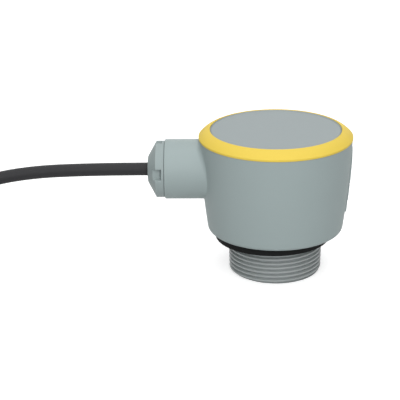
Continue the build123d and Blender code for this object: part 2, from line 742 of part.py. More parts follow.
def gland_nut():
    """Compression nut: round rim, cone-shaped nose and four notches for a pin spanner."""
    rear = NECK_END + NUT_GAP
    nose = rear + NUT_NOSE
    well = rear + NUT_DEPTH
    nut = turned_neck(
        (rear, SPIGOT_R + THREAD_PLAY),
        (rear, NUT_R),
        (rear + NUT_RIM, NUT_R),
        (nose, NUT_NOSE_R),
        (nose, CABLE_R + CABLE_GAP),
        (well, CABLE_R + CABLE_GAP),
        (well, SPIGOT_R + THREAD_PLAY),
    )
    nut = fillet(circle_at(nut, NUT_NOSE_R, nose), NUT_NOSE_ROUND)
    nut = fillet(circle_at(nut, NUT_R, rear), NUT_EDGE)
    block = Box(NUT_NOSE, NOTCH_WIDTH, NUT_R, align=(Align.MAX, Align.CENTER, Align.MIN))
    for i in range(NOTCH_COUNT):
        turn = Rot(90 - NOTCH_TURN + 360.0 * i / NOTCH_COUNT, 0, 0)
        nut -= Pos(-(rear + NOTCH_RIM), 0, NECK_Z) * turn * Pos(0, 0, NOTCH_FLOOR_R) * block
    return nut


def gland_slip_ring():
    """Flat ring between the nut and the claws that slides and doesn't turn."""
    front = NECK_END + NUT_GAP + NUT_DEPTH - SLIP_GAP
    back = front - SLIP_THICKNESS
    outer = SPIGOT_R - COLLAR_STEP
    inner = CABLE_R + CABLE_GAP
    return turned_neck((back, inner), (back, outer), (front, outer), (front, inner))


def gland_claws():
    """Clamping insert: a sleeve in the spigot's bore with a collar outside, slit into fingers."""
    front = NECK_END + SPIGOT_LENGTH
    back = front - GLAND_BORE_DEPTH + CLAW_FLOOR_GAP
    outer = GLAND_BORE_R - CLAW_PLAY
    inner = outer - CLAW_WALL
    claws = turned_neck(
        (back, inner),
        (back, outer),
        (front, outer),
        (front, SPIGOT_R - COLLAR_STEP),
        (front + COLLAR_THICKNESS, SPIGOT_R - COLLAR_STEP - COLLAR_EDGE),
        (front + COLLAR_THICKNESS, inner),
    )
    for i in range(CLAW_SLITS):
        slit = Box(GLAND_BORE_DEPTH, SLIT_WIDTH, SPIGOT_R, align=(Align.MAX, Align.CENTER, Align.MIN))
        claws -= Pos(-(back + CLAW_RING), 0, NECK_Z) * Rot(360.0 * i / CLAW_SLITS, 0, 0) * slit
    return claws


def gland_grommet():
    """Rubber sleeve around the cable inside the claws."""
    back = NECK_END + SPIGOT_LENGTH - GLAND_BORE_DEPTH
    front = NECK_END + SPIGOT_LENGTH - GROMMET_SHORT
    inner = CABLE_R + SQUEEZE_GAP
    outer = GLAND_BORE_R - CLAW_PLAY - CLAW_WALL - SQUEEZE_GAP
    return turned_neck(
        (back, inner),
        (back, outer - GROMMET_EDGE),
        (back + GROMMET_EDGE, outer),
        (front - GROMMET_TAPER, outer),
        (front, outer - GROMMET_TAPER),
        (front, inner),
    )


def lead_route():
    """Route of the cable's middle from inside the gland to the coil's top layer, chosen by hand."""
    return [
        (-CABLE_START, 0.0, NECK_Z),
        (-70.0, 0.0, NECK_Z),
        (-97.0, 0.0, 35.6),
        (-123.0, 0.0, 34.5),
        (-147.0, -2.2, 31.0),
        (-168.0, -12.0, 24.0),
        (-185.0, -24.5, 16.2),
        (-200.0, -33.2, COIL_TOP_MID + 2.4),
        (COIL_X, COIL_START_Y, COIL_TOP_MID),
    ]


def beside_coil(angle, radius, height):
    """Point beside the coil, from its centre's axis."""
    return (COIL_X + radius * cos(radians(angle)), COIL_Y + radius * sin(radians(angle)), height)


def tail_route():
    """Route from the coil's bottom layer round its outside to the sheath's end, chosen by hand."""
    low = FLOOR_Z + CABLE_R
    return [
        (COIL_X, COIL_START_Y, COIL_LOW_MID),
        beside_coil(-101.0, COIL_OUT - 2.2, COIL_LOW_MID - 0.3),
        beside_coil(-113.0, COIL_OUT + 1.6, low),
        beside_coil(-124.0, COIL_OUT + 4.9, low),
        beside_coil(-134.0, COIL_OUT + 6.4, low),
    ]


def route_length(points):
    """Sum of a route's straight runs."""
    spots = [Vector(*p) for p in points]
    return sum((b - a).length for a, b in zip(spots, spots[1:]))


def coil_section(grown):
    """Section of the wound turns, rounded at its corners and grown by a distance."""
    inner, outer = COIL_IN - grown, COIL_OUT + grown
    low, high = COIL_LOW - grown, COIL_HIGH + grown
    corners = [(inner, low), (outer, low), (outer, high), (inner, high)]
    return Plane.XZ * make_face(FilletPolyline(*corners, radius=CABLE_R + grown, close=True))


def cable_coil():
    """Outer shape of the wound turns, a ring with a rounded section."""
    return Pos(COIL_X, COIL_Y, 0) * revolve(coil_section(0.0), RING_Z)


def coil_ties():
    """Two flat ties round the ring of turns, each with its head outside."""
    ties = []
    for turn in TIE_TURNS:
        reach = TIE_GAP + TIE_THICKNESS
        inside = coil_section(TIE_GAP)
        outside = coil_section(reach)
        strap = extrude(outside - inside, TIE_WIDTH / 2, both=True)
        head = Box(TIE_HEAD, TIE_WIDTH + 2 * TIE_HEAD_EDGE, TIE_HEAD_HEIGHT)
        head = Pos(COIL_OUT + reach + TIE_HEAD / 2 - TIE_HEAD_SUNK, 0, TIE_HEAD_Z) * head
        tie = strap + chamfer(head.edges(), 0.5)
        ties.append(Pos(COIL_X, COIL_Y, 0) * Rot(0, 0, turn) * tie)
    return ties


def end_core_route(side):
    """Route of one bare core from the sheath's end to its sleeve, on the floor, chosen by hand."""
    before, end = [Vector(*p) for p in tail_route()[-2:]]
    along = (end - before).normalized()
    across = Vector(-along.Y, along.X, 0) * side
    start = end + across * CORE_SPACING / 2
    low = FLOOR_Z + COLLAR_R
    out = COIL_OUT + END_CORE_OUT + side * END_CORE_SPREAD
    return [
        tuple(start),
        tuple(start + along * 6.0),
        beside_coil(-149.0, out - side * 1.6, low + 0.9),
        beside_coil(-159.0, out, low),
        beside_coil(-168.0, out + side * 0.9, low),
    ]


def end_core(side):
    """One insulated core at the cable's far end."""
    path, _ = rounded_path(end_core_route(side))
    return tube(path, CORE_R)


def end_sleeves():
    """Crimped sleeves, a collar and a stem each, on the two far cores."""
    upright = (Align.CENTER, Align.CENTER, Align.MIN)
    sleeves = []
    for side in (-1, 1):
        before, end = [Vector(*p) for p in end_core_route(side)[-2:]]
        seat = Plane(origin=end, z_dir=end - before)
        collar = Cylinder(COLLAR_R, COLLAR_LENGTH, align=upright)
        sleeves.append(seat * (collar + Cylinder(STEM_R, SLEEVE_LENGTH, align=upright)))
    return sleeves


# Sizes of the wound coil, from the cable's length
COIL_LOW = FLOOR_Z + TIE_THICKNESS + TIE_GAP
COIL_LOW_MID = COIL_LOW + CABLE_R
COIL_TOP_MID = COIL_LOW_MID + (LAYERS - 1) * TURN_PITCH
COIL_HIGH = COIL_TOP_MID + CABLE_R
COIL_TURNS = LAYERS * TURNS_PER_LAYER
COIL_LENGTH = CABLE_LENGTH - route_length(lead_route()) - TAIL_LENGTH
COIL_MEAN_R = COIL_LENGTH / (2 * pi * COIL_TURNS)
COIL_IN = COIL_MEAN_R - TURNS_PER_LAYER * TURN_PITCH / 2 - CABLE_R
COIL_OUT = COIL_MEAN_R + TURNS_PER_LAYER * TURN_PITCH / 2 + CABLE_R
COIL_Y = COIL_START_Y + COIL_OUT - CABLE_R
TIE_HEAD_Z = (COIL_LOW + COIL_HIGH) / 2


def cord_tube(name, points):
    """Tube along a cable route; prints its tightest arc and compares its volume with its length."""
    path, radii = rounded_path(points)
    solid = tube(path, CABLE_R)
    ratio = solid.volume / (pi * CABLE_R**2 * path.length)
    arcs = [round(r) for r in radii]
    print(name, "arc radii", arcs, "length", round(path.length, 1), "volume ratio", round(ratio, 4))
    return solid


def save(name, shape):
    """Writes one named piece, or a group of separate like solids."""
    if isinstance(shape, list):
        shape = Compound(children=shape)
    shape.label = name
    export_step(shape, "parts/" + name + ".step")


os.makedirs("parts", exist_ok=True)
save("housing", housing())
save("lid_disc", lid_disc())
save("lid_seal", seal_ring(LID_BORE_R, LID_SEAL_Z))
save("trim_ring", trim_ring())
save("process_gasket", process_gasket())
save("process_fitting", process_fitting())
save("fitting_seal", seal_ring(SLEEVE_R + SLEEVE_PLAY, FITTING_SEAL_Z))
save("fitting_locknut", fitting_locknut())
save("antenna_horn", antenna_horn())
save("radar_board", radar_board())
save("radar_chip", radar_chip())
save("radar_shield", radar_shield())
save("radar_screws", radar_screws())
save("electronics_carrier", electronics_carrier())
save("carrier_screws", carrier_screws())
save("main_board", main_board())
save("board_screws", board_screws())
save("board_link", board_link())
save("power_choke", power_choke())
save("capacitors", capacitors())
save("processor", processor())
save("terminal_block", terminal_block())
save("terminal_screws", terminal_screws())
save("lead_brown", inner_lead(-1))
save("lead_blue", inner_lead(1))
save("gland_nut", gland_nut())
save("gland_slip_ring", gland_slip_ring())
save("gland_claws", gland_claws())
save("gland_grommet", gland_grommet())
save("cable_lead", cord_tube("cable_lead", lead_route()))
save("cable_coil", cable_coil())
save("cable_tail", cord_tube("cable_tail", tail_route()))
save("coil_ties", coil_ties())
save("end_core_brown", end_core(-1))
save("end_core_blue", end_core(1))
save("end_sleeves", end_sleeves())
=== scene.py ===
"""Looks of the compact radar level sensor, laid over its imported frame. Metres, +Z up."""

from math import atan, cos, pi, radians, sin, tan

import bmesh
import bpy
import numpy as np
from mathutils import Matrix, Vector


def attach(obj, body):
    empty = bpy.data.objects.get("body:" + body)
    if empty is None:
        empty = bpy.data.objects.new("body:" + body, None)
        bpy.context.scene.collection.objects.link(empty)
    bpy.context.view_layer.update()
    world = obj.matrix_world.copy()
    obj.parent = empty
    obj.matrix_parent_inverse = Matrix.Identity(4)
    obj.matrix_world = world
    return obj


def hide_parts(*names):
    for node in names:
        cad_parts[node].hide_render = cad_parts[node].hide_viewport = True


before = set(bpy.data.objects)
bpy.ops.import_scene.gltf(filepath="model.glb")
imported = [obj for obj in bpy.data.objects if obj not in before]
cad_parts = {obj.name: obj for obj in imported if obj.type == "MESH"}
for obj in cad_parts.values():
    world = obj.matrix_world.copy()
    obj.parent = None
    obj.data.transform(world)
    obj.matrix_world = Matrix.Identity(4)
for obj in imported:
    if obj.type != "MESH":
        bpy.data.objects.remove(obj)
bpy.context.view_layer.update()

MM = 0.001
SENSOR = "sensor"
NUT = "nut"

# Sizes of the model, in millimetres
FLOOR_Z = -17.8
BASE_Z = 4.5
BASE_R = 34.3
RIM_R = 38.5
SHELL_HEIGHT = 47.9
RIM_Z = BASE_Z + SHELL_HEIGHT
SIDE_BOW = 0.65
BASE_FILLET = 2.1
NECK_R = 15.15
NECK_UNDER_RIM = 1.32
NECK_Z = RIM_Z - NECK_R - NECK_UNDER_RIM
NECK_END = 55.901
NECK_EDGE = 0.6
BLEND_HIGH = 2.9
BLEND_LOW = 0.8
CABLE_R = 3.3
COIL_X = -216.0
COIL_START_Y = -35.45
COIL_LAYERS = 4
TURNS_PER_LAYER = 4.25
TURN_PITCH = 6.75
COIL_TURNS = COIL_LAYERS * TURNS_PER_LAYER
TIE_THICKNESS = 1.0
TIE_GAP = 0.1
COIL_LOW_MID = FLOOR_Z + (TIE_THICKNESS + TIE_GAP) + CABLE_R
COIL_TOP_MID = COIL_LOW_MID + (COIL_LAYERS - 1) * TURN_PITCH


# Camera, its place in metres

CAMERA_PLACE = (-0.01874, -0.63129, 0.25643)
CAMERA_TURN = radians(-1.79)
CAMERA_TILT = radians(20.607)
CAMERA_ROLL = radians(0.795)
CAMERA_LENS = 118.65


def photo_camera():
    """Camera fitted to the photograph: place, turn, tilt, roll and lens."""
    turn, tilt, roll = CAMERA_TURN, CAMERA_TILT, CAMERA_ROLL
    ahead = Vector((sin(turn) * cos(tilt), cos(turn) * cos(tilt), -sin(tilt)))
    level = Vector((cos(turn), -sin(turn), 0.0))
    down = -level.cross(ahead)
    right = cos(roll) * level + sin(roll) * down
    low = -sin(roll) * level + cos(roll) * down
    data = bpy.data.cameras.new("photo_camera")
    data.sensor_width = 36.0
    data.lens = CAMERA_LENS
    camera = bpy.data.objects.new("photo_camera", data)
    axes = Matrix((right, -low, -ahead)).transposed()
    camera.matrix_world = Matrix.Translation(CAMERA_PLACE) @ axes.to_4x4()
    bpy.context.scene.collection.objects.link(camera)
    bpy.context.scene.camera = camera


photo_camera()


# Surfaces from arrays

SEAM_GAP = 2e-6
LEAST_EDGE = 1e-7


def surface(name, grids, sharp=38.0):
    """One mesh object from grids of points in millimetres. Each grid is an array of rows and
    columns of points and flags that say whether its rows and its columns close on themselves."""
    places, faces, first = [], [], 0
    for points, wrap_rows, wrap_columns in grids:
        rows, columns = points.shape[:2]
        number = first + np.arange(rows * columns).reshape(rows, columns)
        if wrap_rows:
            number = np.vstack([number, number[:1]])
        if wrap_columns:
            number = np.hstack([number, number[:, :1]])
        corners = [number[:-1, :-1], number[:-1, 1:], number[1:, 1:], number[1:, :-1]]
        faces.append(np.stack(corners, axis=-1).reshape(-1, 4))
        places.append(points.reshape(-1, 3))
        first += rows * columns
    places = np.concatenate(places) * MM
    faces = np.concatenate(faces).astype(np.int32)
    mesh = bpy.data.meshes.new(name)
    mesh.vertices.add(len(places))
    mesh.vertices.foreach_set("co", places.astype(np.float32).ravel())
    mesh.loops.add(faces.size)
    mesh.loops.foreach_set("vertex_index", faces.ravel())
    mesh.polygons.add(len(faces))
    mesh.polygons.foreach_set("loop_start", np.arange(0, faces.size, 4, dtype=np.int32))
    mesh.update(calc_edges=True)
    piece = bpy.data.objects.new(name, mesh)
    bpy.context.scene.collection.objects.link(piece)
    tidy_mesh(piece, sharp)
    return piece


def shade(mesh, sharp):
    """Smooth shading, with the edges kept whose faces meet at more than an angle in degrees."""
    mesh.shade_smooth()
    mesh.set_sharp_from_angle(angle=radians(sharp))
    mesh.update()


def tidy_mesh(piece, sharp):
    """Merges the seams and poles, turns the faces outwards and shades them smooth."""
    work = bmesh.new()
    work.from_mesh(piece.data)
    bmesh.ops.remove_doubles(work, verts=work.verts, dist=SEAM_GAP)
    bmesh.ops.dissolve_degenerate(work, edges=work.edges, dist=LEAST_EDGE)
    bmesh.ops.recalc_face_normals(work, faces=work.faces)
    work.to_mesh(piece.data)
    work.free()
    shade(piece.data, sharp)


def eased(share):
    """Smooth step: three times the square of the share less twice its cube, between 0 and 1."""
    share = np.clip(share, 0.0, 1.0)
    return share * share * (3.0 - 2.0 * share)


def unit(vectors):
    """The same directions, each with length 1."""
    return vectors / np.linalg.norm(vectors, axis=-1, keepdims=True)


def run_lengths(points):
    """Length of the run from the first point to each point."""
    legs = np.linalg.norm(np.diff(np.asarray(points, float), axis=0), axis=1)
    return np.concatenate([[0.0], np.cumsum(legs)])


def arc(start, end, swept, share):
    """Direction at a share of the way along the arc between two directions from its centre."""
    return (np.sin((1 - share) * swept) * start + np.sin(share * swept) * end) / np.sin(swept)


def softened(points, rounds, steps=5, hold=0.12):
    """Closed or open outline whose corners are arcs: each corner is replaced by an arc tangent to
    its two runs, with one more point a little way along each run to keep the faces flat. The arc
    radius of a corner is found in rounds under its number."""
    points = [np.asarray(p, float) for p in points]
    shaped = []
    for i, corner in enumerate(points):
        size = rounds.get(i, 0.0)
        if size == 0.0:
            shaped.append(corner)
            continue
        before, after = points[i - 1], points[(i + 1) % len(points)]
        back, on = unit(before - corner), unit(after - corner)
        half = np.arccos(np.clip(back @ on, -1.0, 1.0)) / 2
        reach = size / tan(half)
        centre = corner + unit(back + on) * size / sin(half)
        start, end = corner + back * reach, corner + on * reach
        shaped.append(start + back * hold)
        a, b = start - centre, end - centre
        swept = np.arccos(np.clip(a @ b / size**2, -1.0, 1.0))
        shaped += [centre + arc(a, b, swept, share) for share in np.linspace(0.0, 1.0, steps + 1)]
        shaped.append(end + on * hold)
    return np.array(shaped)


def finer(outline, step):
    """The same outline with points added at even steps of length between its own."""
    gone = run_lengths(outline)
    reach = np.union1d(gone, np.arange(step, gone[-1], step))
    return np.stack([np.interp(reach, gone, outline[:, axis]) for axis in (0, 1)], axis=1)


def placed(x, y, z):
    """Grid of points from three arrays of coordinates that fit each other."""
    return np.stack(np.broadcast_arrays(x, y, z), axis=-1)


def around(radius, height, angles, centre=(0.0, 0.0)):
    """Points at distances, heights and angles about an upright axis."""
    return placed(centre[0] + radius * np.cos(angles), centre[1] + radius * np.sin(angles), height)


def spun(outline, count, centre=(0.0, 0.0)):
    """Surface of revolution about an upright axis: the outline's (radius, height) points turned
    through even angles."""
    return around(outline[:, :1], outline[:, 1:], 2 * pi * np.arange(count) / count, centre)


def round_neck(along, radius, angles):
    """Points at distances along -X, at distances from the neck's axis and at angles about it."""
    return placed(-along, radius * np.sin(angles), NECK_Z + radius * np.cos(angles))


def neck_spun(outline, angles):
    """Surface of revolution about the neck's axis: (distance along -X, radius) points turned."""
    return round_neck(outline[:, :1], outline[:, 1:], angles)


# Cable and its far end

LEAD_ROUTE = [
    (-43.99, 0.0, NECK_Z),
    (-70.0, 0.0, NECK_Z),
    (-97.0, 0.0, 35.6),
    (-123.0, 0.0, 34.5),
    (-147.0, -2.2, 31.0),
    (-168.0, -12.0, 24.0),
    (-185.0, -24.5, 16.2),
    (-200.0, -33.2, COIL_TOP_MID + 2.4),
    (COIL_X, COIL_START_Y, COIL_TOP_MID),
]
TAIL_LENGTH = 53.0
CABLE_LENGTH = 5000.0
COIL_LENGTH = CABLE_LENGTH - run_lengths(LEAD_ROUTE)[-1] - TAIL_LENGTH
COIL_MEAN_R = COIL_LENGTH / (2 * pi * COIL_TURNS)
COIL_SPAN = TURNS_PER_LAYER * TURN_PITCH
COIL_OUT_MID = COIL_MEAN_R + COIL_SPAN / 2
COIL_OUT = COIL_OUT_MID + CABLE_R
COIL_Y = COIL_START_Y + COIL_OUT_MID


def beside_coil(angle, radius, height):
    """Point at an angle and distance from the coil's upright axis."""
    return (COIL_X + radius * cos(radians(angle)), COIL_Y + radius * sin(radians(angle)), height)


TAIL_LOW = FLOOR_Z + CABLE_R
TAIL_ROUTE = [
    beside_coil(-101.0, COIL_OUT - 2.2, COIL_LOW_MID - 0.3),
    beside_coil(-113.0, COIL_OUT + 1.6, TAIL_LOW),
    beside_coil(-124.0, COIL_OUT + 4.9, TAIL_LOW),
    beside_coil(-134.0, COIL_OUT + 6.4, TAIL_LOW),
]
POINTS_PER_TURN = 16
STEP_TURNS = 0.5


def coil_points():
    """Turns of the coil: the angle falls evenly, the radius swings in and out once per two layers,
    and the height steps down by one pitch around each end of a layer. The radius is enlarged by
    what a spline of second degree cuts off a ring of control points."""
    turns = (np.arange(int(COIL_TURNS * POINTS_PER_TURN)) + 0.5) / POINTS_PER_TURN
    swing = np.abs((turns / TURNS_PER_LAYER + 1.0) % 2.0 - 1.0)
    radius = COIL_OUT_MID - COIL_SPAN * swing
    stepped = np.zeros_like(turns)
    for end in range(1, COIL_LAYERS):
        stepped += eased((turns - TURNS_PER_LAYER * end) / STEP_TURNS + 0.5)
    height = COIL_TOP_MID - TURN_PITCH * stepped
    radius = radius / (0.75 + 0.25 * cos(2 * pi / POINTS_PER_TURN))
    angle = -pi / 2 - 2 * pi * turns
    return [tuple(point) for point in around(radius, height, angle, (COIL_X, COIL_Y))]


def along_spline(points, steps):
    """Points read along one smooth NURBS spline whose control points are the given points."""
    curve = bpy.data.curves.new("route", "CURVE")
    curve.dimensions = "3D"
    spline = curve.splines.new("NURBS")
    spline.points.add(len(points) - 1)
    places = np.asarray(points, float) * MM
    spline.points.foreach_set("co", np.column_stack([places, np.ones(len(places))]).ravel())
    spline.order_u = 3
    spline.use_endpoint_u = True
    spline.resolution_u = steps
    holder = bpy.data.objects.new("route", curve)
    line = bpy.data.meshes.new_from_object(holder)
    places = np.empty(3 * len(line.vertices), np.float32)
    line.vertices.foreach_get("co", places)
    bpy.data.objects.remove(holder)
    bpy.data.curves.remove(curve)
    bpy.data.meshes.remove(line)
    return places.reshape(-1, 3).astype(float)


def tube(name, path, radius, sides, edge=0.3):
    """Round bar along a path in metres: each ring stands square to the path, with its first axis
    level, and the ends are flat with rounded edges."""
    centre = path / MM
    ahead = unit(np.gradient(centre, axis=0))
    level = unit(np.cross(ahead, (0.0, 0.0, 1.0)))
    up = np.cross(level, ahead)
    bend = np.radians([0.0, 30.0, 60.0, 90.0])
    rounded = np.concatenate([[0.0], radius - edge + edge * np.sin(bend)])
    inset = np.concatenate([[0.0], edge - edge * np.cos(bend)])
    ends, last = len(inset), len(path) - 1
    rows = np.concatenate([np.zeros(ends, int), np.arange(1, last), np.full(ends, last)])
    size = np.full(len(rows), radius)
    size[:ends], size[-ends:] = rounded, rounded[::-1]
    shift = np.zeros(len(rows))
    shift[:ends], shift[-ends:] = inset, -inset[::-1]
    angle = 2 * pi * np.arange(sides) / sides
    ring = level[rows, None] * np.cos(angle)[:, None] + up[rows, None] * np.sin(angle)[:, None]
    middle = centre[rows] + ahead[rows] * shift[:, None]
    return surface(name, [(middle[:, None] + ring * size[:, None, None], False, True)])


cable_path = along_spline(LEAD_ROUTE[:-1] + coil_points() + TAIL_ROUTE, 5)
cable = tube("cable_black", cable_path, CABLE_R, 20)
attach(cable, SENSOR)
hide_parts("cable_lead", "cable_coil", "cable_tail")

CORE_R = 1.1
CORE_SPACING = 2.6
CORE_STRAIGHT = 6.0
CORE_OUT = 7.2
CORE_SPLAY = 3.4
SLEEVE_COLLAR_R = 1.5


def end_core_route(side):
    """Route of one bare core from the sheath's end to its sleeve, on the floor."""
    before, end = Vector(TAIL_ROUTE[-2]), Vector(TAIL_ROUTE[-1])
    along = (end - before).normalized()
    across = Vector((-along.y, along.x, 0.0)) * side
    start = end + across * CORE_SPACING / 2
    low = FLOOR_Z + SLEEVE_COLLAR_R
    out = COIL_OUT + CORE_OUT + side * CORE_SPLAY
    return [
        tuple(start),
        tuple(start + along * CORE_STRAIGHT),
        beside_coil(-149.0, out - side * 1.6, low + 0.9),
        beside_coil(-159.0, out, low),
        beside_coil(-168.0, out + side * 0.9, low),
    ]


far_cores = {}
for colour, side in (("brown", -1), ("blue", 1)):
    core = tube("far_core_" + colour, along_spline(end_core_route(side), 10), CORE_R, 16, edge=0.15)
    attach(core, SENSOR)
    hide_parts("end_core_" + colour)
    far_cores[colour] = core


# Ties and end sleeves

TIE_TURNS = (30.0, 150.0)
TIE_WIDTH = 4.6
TIE_BORDER = 1.0
TIE_HEAD = 3.6
TIE_HEAD_WIDTH = 6.2
TIE_HEAD_HEIGHT = 5.6
TIE_HEAD_SUNK = 0.3
TIE_TOOTH = 1.1
TIE_TOOTH_DEPTH = 0.1
TIE_LIP = 0.4
LOOP_POINTS = 180


def rounded_block(half, edge, centre, steps=4):
    """Block with every edge rounded: the corners of an inner block, each with a ball's radius added
    outwards, from pole to pole."""
    quarter = np.linspace(0.0, pi / 2, steps + 1)
    turn = np.concatenate([quarter + k * pi / 2 for k in range(4)])
    side = np.repeat([(1, 1), (-1, 1), (-1, -1), (1, -1)], steps + 1, axis=0)
    tilt = np.concatenate([[-pi / 2], quarter - pi / 2, quarter, [pi / 2]])[:, None]
    level = np.sign(tilt + 1e-6 + 0 * turn)
    level[: steps + 2] = -1
    core = np.asarray(half, float) - edge
    x = core[0] * side[:, 0] + edge * np.cos(tilt) * np.cos(turn)
    y = core[1] * side[:, 1] + edge * np.cos(tilt) * np.sin(turn)
    z = core[2] * level + edge * np.sin(tilt)
    x[[0, -1]], y[[0, -1]] = 0.0, 0.0
    return placed(x, y, z) + centre


def turned_about_coil(points, turn):
    """Points given as (distance from the coil's axis, sideways, height), turned to an angle."""
    out, side, height = points[..., 0], points[..., 1], points[..., 2]
    c, s = cos(radians(turn)), sin(radians(turn))
    return placed(COIL_X + out * c - side * s, COIL_Y + out * s + side * c, height)


def turns_at(turn):
    """Centres of the coil's turns where they cross the upright half plane at an angle, as
    (distance from the coil's axis, height)."""
    x, y, height = (cable_path / MM).T
    x, y = x - COIL_X, y - COIL_Y
    c, s = cos(radians(turn)), sin(radians(turn))
    out, side = x * c + y * s, y * c - x * s
    ahead = side > 0
    wound = (out > 0) & (np.hypot(x, y) < COIL_OUT)
    i = np.flatnonzero((ahead[1:] != ahead[:-1]) & wound[1:] & wound[:-1])
    share = side[i] / (side[i] - side[i + 1])
    places = np.stack([out, height], axis=1)
    return places[i] + share[:, None] * (places[i + 1] - places[i])


def round_turns(turn):
    """Tight loop round the turns at an angle: in every direction the turn that lies farthest that
    way, plus the cable's radius. That gives an arc round each outer turn and a straight run from it
    to the next."""
    lean = 2 * pi * np.arange(LOOP_POINTS) / LOOP_POINTS
    out = np.stack([np.cos(lean), np.sin(lean)], axis=1)
    centres = turns_at(turn)
    farthest = centres[np.argmax(centres @ out.T, axis=0)]
    return farthest + (CABLE_R + TIE_GAP) * out


def outwards(loop):
    """Direction square to a closed loop at each of its points."""
    ahead = unit(np.roll(loop, -1, axis=0) - np.roll(loop, 1, axis=0))
    return np.stack([ahead[:, 1], -ahead[:, 0]], axis=1)


def tie_strap(loop):
    """Strap round the ring of turns: a flat section with rounded edges and fine cross ribs, carried
    along the loop."""
    loop = finer(np.vstack([loop, loop[:1]]), TIE_TOOTH / 4)[:-1]
    rib = TIE_TOOTH_DEPTH * (1 - np.cos(2 * pi * run_lengths(loop) / TIE_TOOTH)) / 2
    half, top = TIE_WIDTH / 2, TIE_THICKNESS
    ribbed = half - TIE_BORDER
    section = softened(
        [(-half, 0.0), (half, 0.0), (half, top), (ribbed, top), (-ribbed, top), (-half, top)],
        {0: 0.2, 1: 0.2, 2: 0.3, 5: 0.3}, steps=3, hold=0.02,
    )
    middle = (np.abs(section[:, 0]) < ribbed + 0.1) & (section[:, 1] > top / 2)
    lift = section[:, 1] - rib[:, None] * middle
    out = loop[:, None] + outwards(loop)[:, None] * lift[..., None]
    return placed(out[..., 0], section[:, 0], out[..., 1])


def on_outer_run(block, loop):
    """Block set on the loop's longest run that faces away from the coil's axis: its first axis turns
    to the run's outward direction and its origin goes to the run's middle."""
    run = np.roll(loop, -1, axis=0) - loop
    facing = np.clip(run[:, 1], 0.0, None) ** 2 / np.linalg.norm(run, axis=1)
    i = np.argmax(facing)
    ahead = unit(run[i])
    middle = loop[i] + run[i] / 2
    out = middle[0] + block[..., 0] * ahead[1] + block[..., 2] * ahead[0]
    height = middle[1] - block[..., 0] * ahead[0] + block[..., 2] * ahead[1]
    return placed(out, block[..., 1], height)


def tie_pieces():
    """Straps, heads and trimmed ends of the two ties."""
    out = TIE_THICKNESS - TIE_HEAD_SUNK + TIE_HEAD / 2
    deep, wide, high = TIE_HEAD / 2, TIE_HEAD_WIDTH / 2, TIE_HEAD_HEIGHT / 2
    head = rounded_block((deep, wide, high), 0.55, (out, 0.0, 0.0))
    end = rounded_block((TIE_THICKNESS / 2, TIE_WIDTH / 2 - 0.1, high + 1.3), 0.25, (out + 0.3, 0.0, 0.9))
    lip = rounded_block((deep - 0.5, wide - 0.5, TIE_LIP), TIE_LIP / 2, (out, 0.0, -high))
    grids = []
    for turn in TIE_TURNS:
        loop = round_turns(turn)
        grids.append((turned_about_coil(tie_strap(loop), turn), True, True))
        for block in (head, end, lip):
            grids.append((turned_about_coil(on_outer_run(block, loop), turn), False, True))
    return surface("coil_ties_ribbed", grids, sharp=50.0)


ties = tie_pieces()
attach(ties, SENSOR)
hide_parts("coil_ties")

SLEEVE_LENGTH = 8.0
STEM_R = 0.8
STEM_POINTS = 44
COLLAR_LENGTH = 2.0
COLLAR_BACK = -1.6
COLLAR_TIP_R = 1.12
CRIMP_START = 3.2
CRIMP_LENGTH = 3.6
CRIMP_PITCH = 0.9
CRIMP_DEPTH = 0.16


def along_end(side, outline, count, squeeze=0.0):
    """Surface of revolution on the end of one far core: (distance past the core's end, radius)
    points turned, and pressed in by waves on four sides where the stem is crimped."""
    before, end = [np.array(place) for place in end_core_route(side)[-2:]]
    ahead = unit(end - before)
    level = unit(np.cross(ahead, (0.0, 0.0, 1.0)))
    up = np.cross(level, ahead)
    turn = 2 * pi * np.arange(count) / count
    reach = outline[:, :1]
    crimped = reach - CRIMP_START
    pressed = np.clip(2.2 * np.sin(pi * np.clip(crimped / CRIMP_LENGTH, 0.0, 1.0)), 0.0, 1.0)
    band = 0.55 + 0.45 * np.cos(2 * pi * crimped / CRIMP_PITCH)
    radius = outline[:, 1:] * (1 - squeeze * pressed * band * np.cos(2 * turn) ** 2)
    ring = level * np.cos(turn)[:, None] + up * np.sin(turn)[:, None]
    return end + ahead * reach[..., None] + ring * radius[..., None]


def sleeve_stems():
    """Crimped metal stems of the two end sleeves."""
    run = np.linspace(COLLAR_LENGTH - 0.4, SLEEVE_LENGTH - 0.3, STEM_POINTS)
    stem = np.stack([run, np.full(STEM_POINTS, STEM_R)], axis=1)
    tip = [(SLEEVE_LENGTH - 0.08, STEM_R - 0.06), (SLEEVE_LENGTH, STEM_R - 0.16), (SLEEVE_LENGTH, 0.0)]
    outline = np.vstack([[(run[0], 0.0)], stem, tip])
    grids = [(along_end(side, outline, 32, CRIMP_DEPTH), False, True) for side in (-1, 1)]
    return surface("sleeve_stems", grids)


def sleeve_collars():
    """Moulded collars of the two end sleeves: a short funnel that widens towards the core."""
    outline = softened(
        [(COLLAR_BACK, 0.0), (COLLAR_BACK, SLEEVE_COLLAR_R - 0.12), (0.9, SLEEVE_COLLAR_R),
         (COLLAR_LENGTH, COLLAR_TIP_R), (COLLAR_LENGTH, 0.0)],
        {1: 0.2, 2: 0.5, 3: 0.12}, hold=0.03,
    )
    return surface("sleeve_collars", [(along_end(side, outline, 28), False, True) for side in (-1, 1)])


stems = sleeve_stems()
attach(stems, SENSOR)
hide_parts("end_sleeves")
collars = sleeve_collars()
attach(collars, SENSOR)


# Housing

def side_radius(height):
    """Outside radius of the housing: a straight taper with a slight outward bow."""
    share = (height - BASE_Z) / SHELL_HEIGHT
    return BASE_R + (RIM_R - BASE_R) * share + 4 * SIDE_BOW * share * (1 - share)


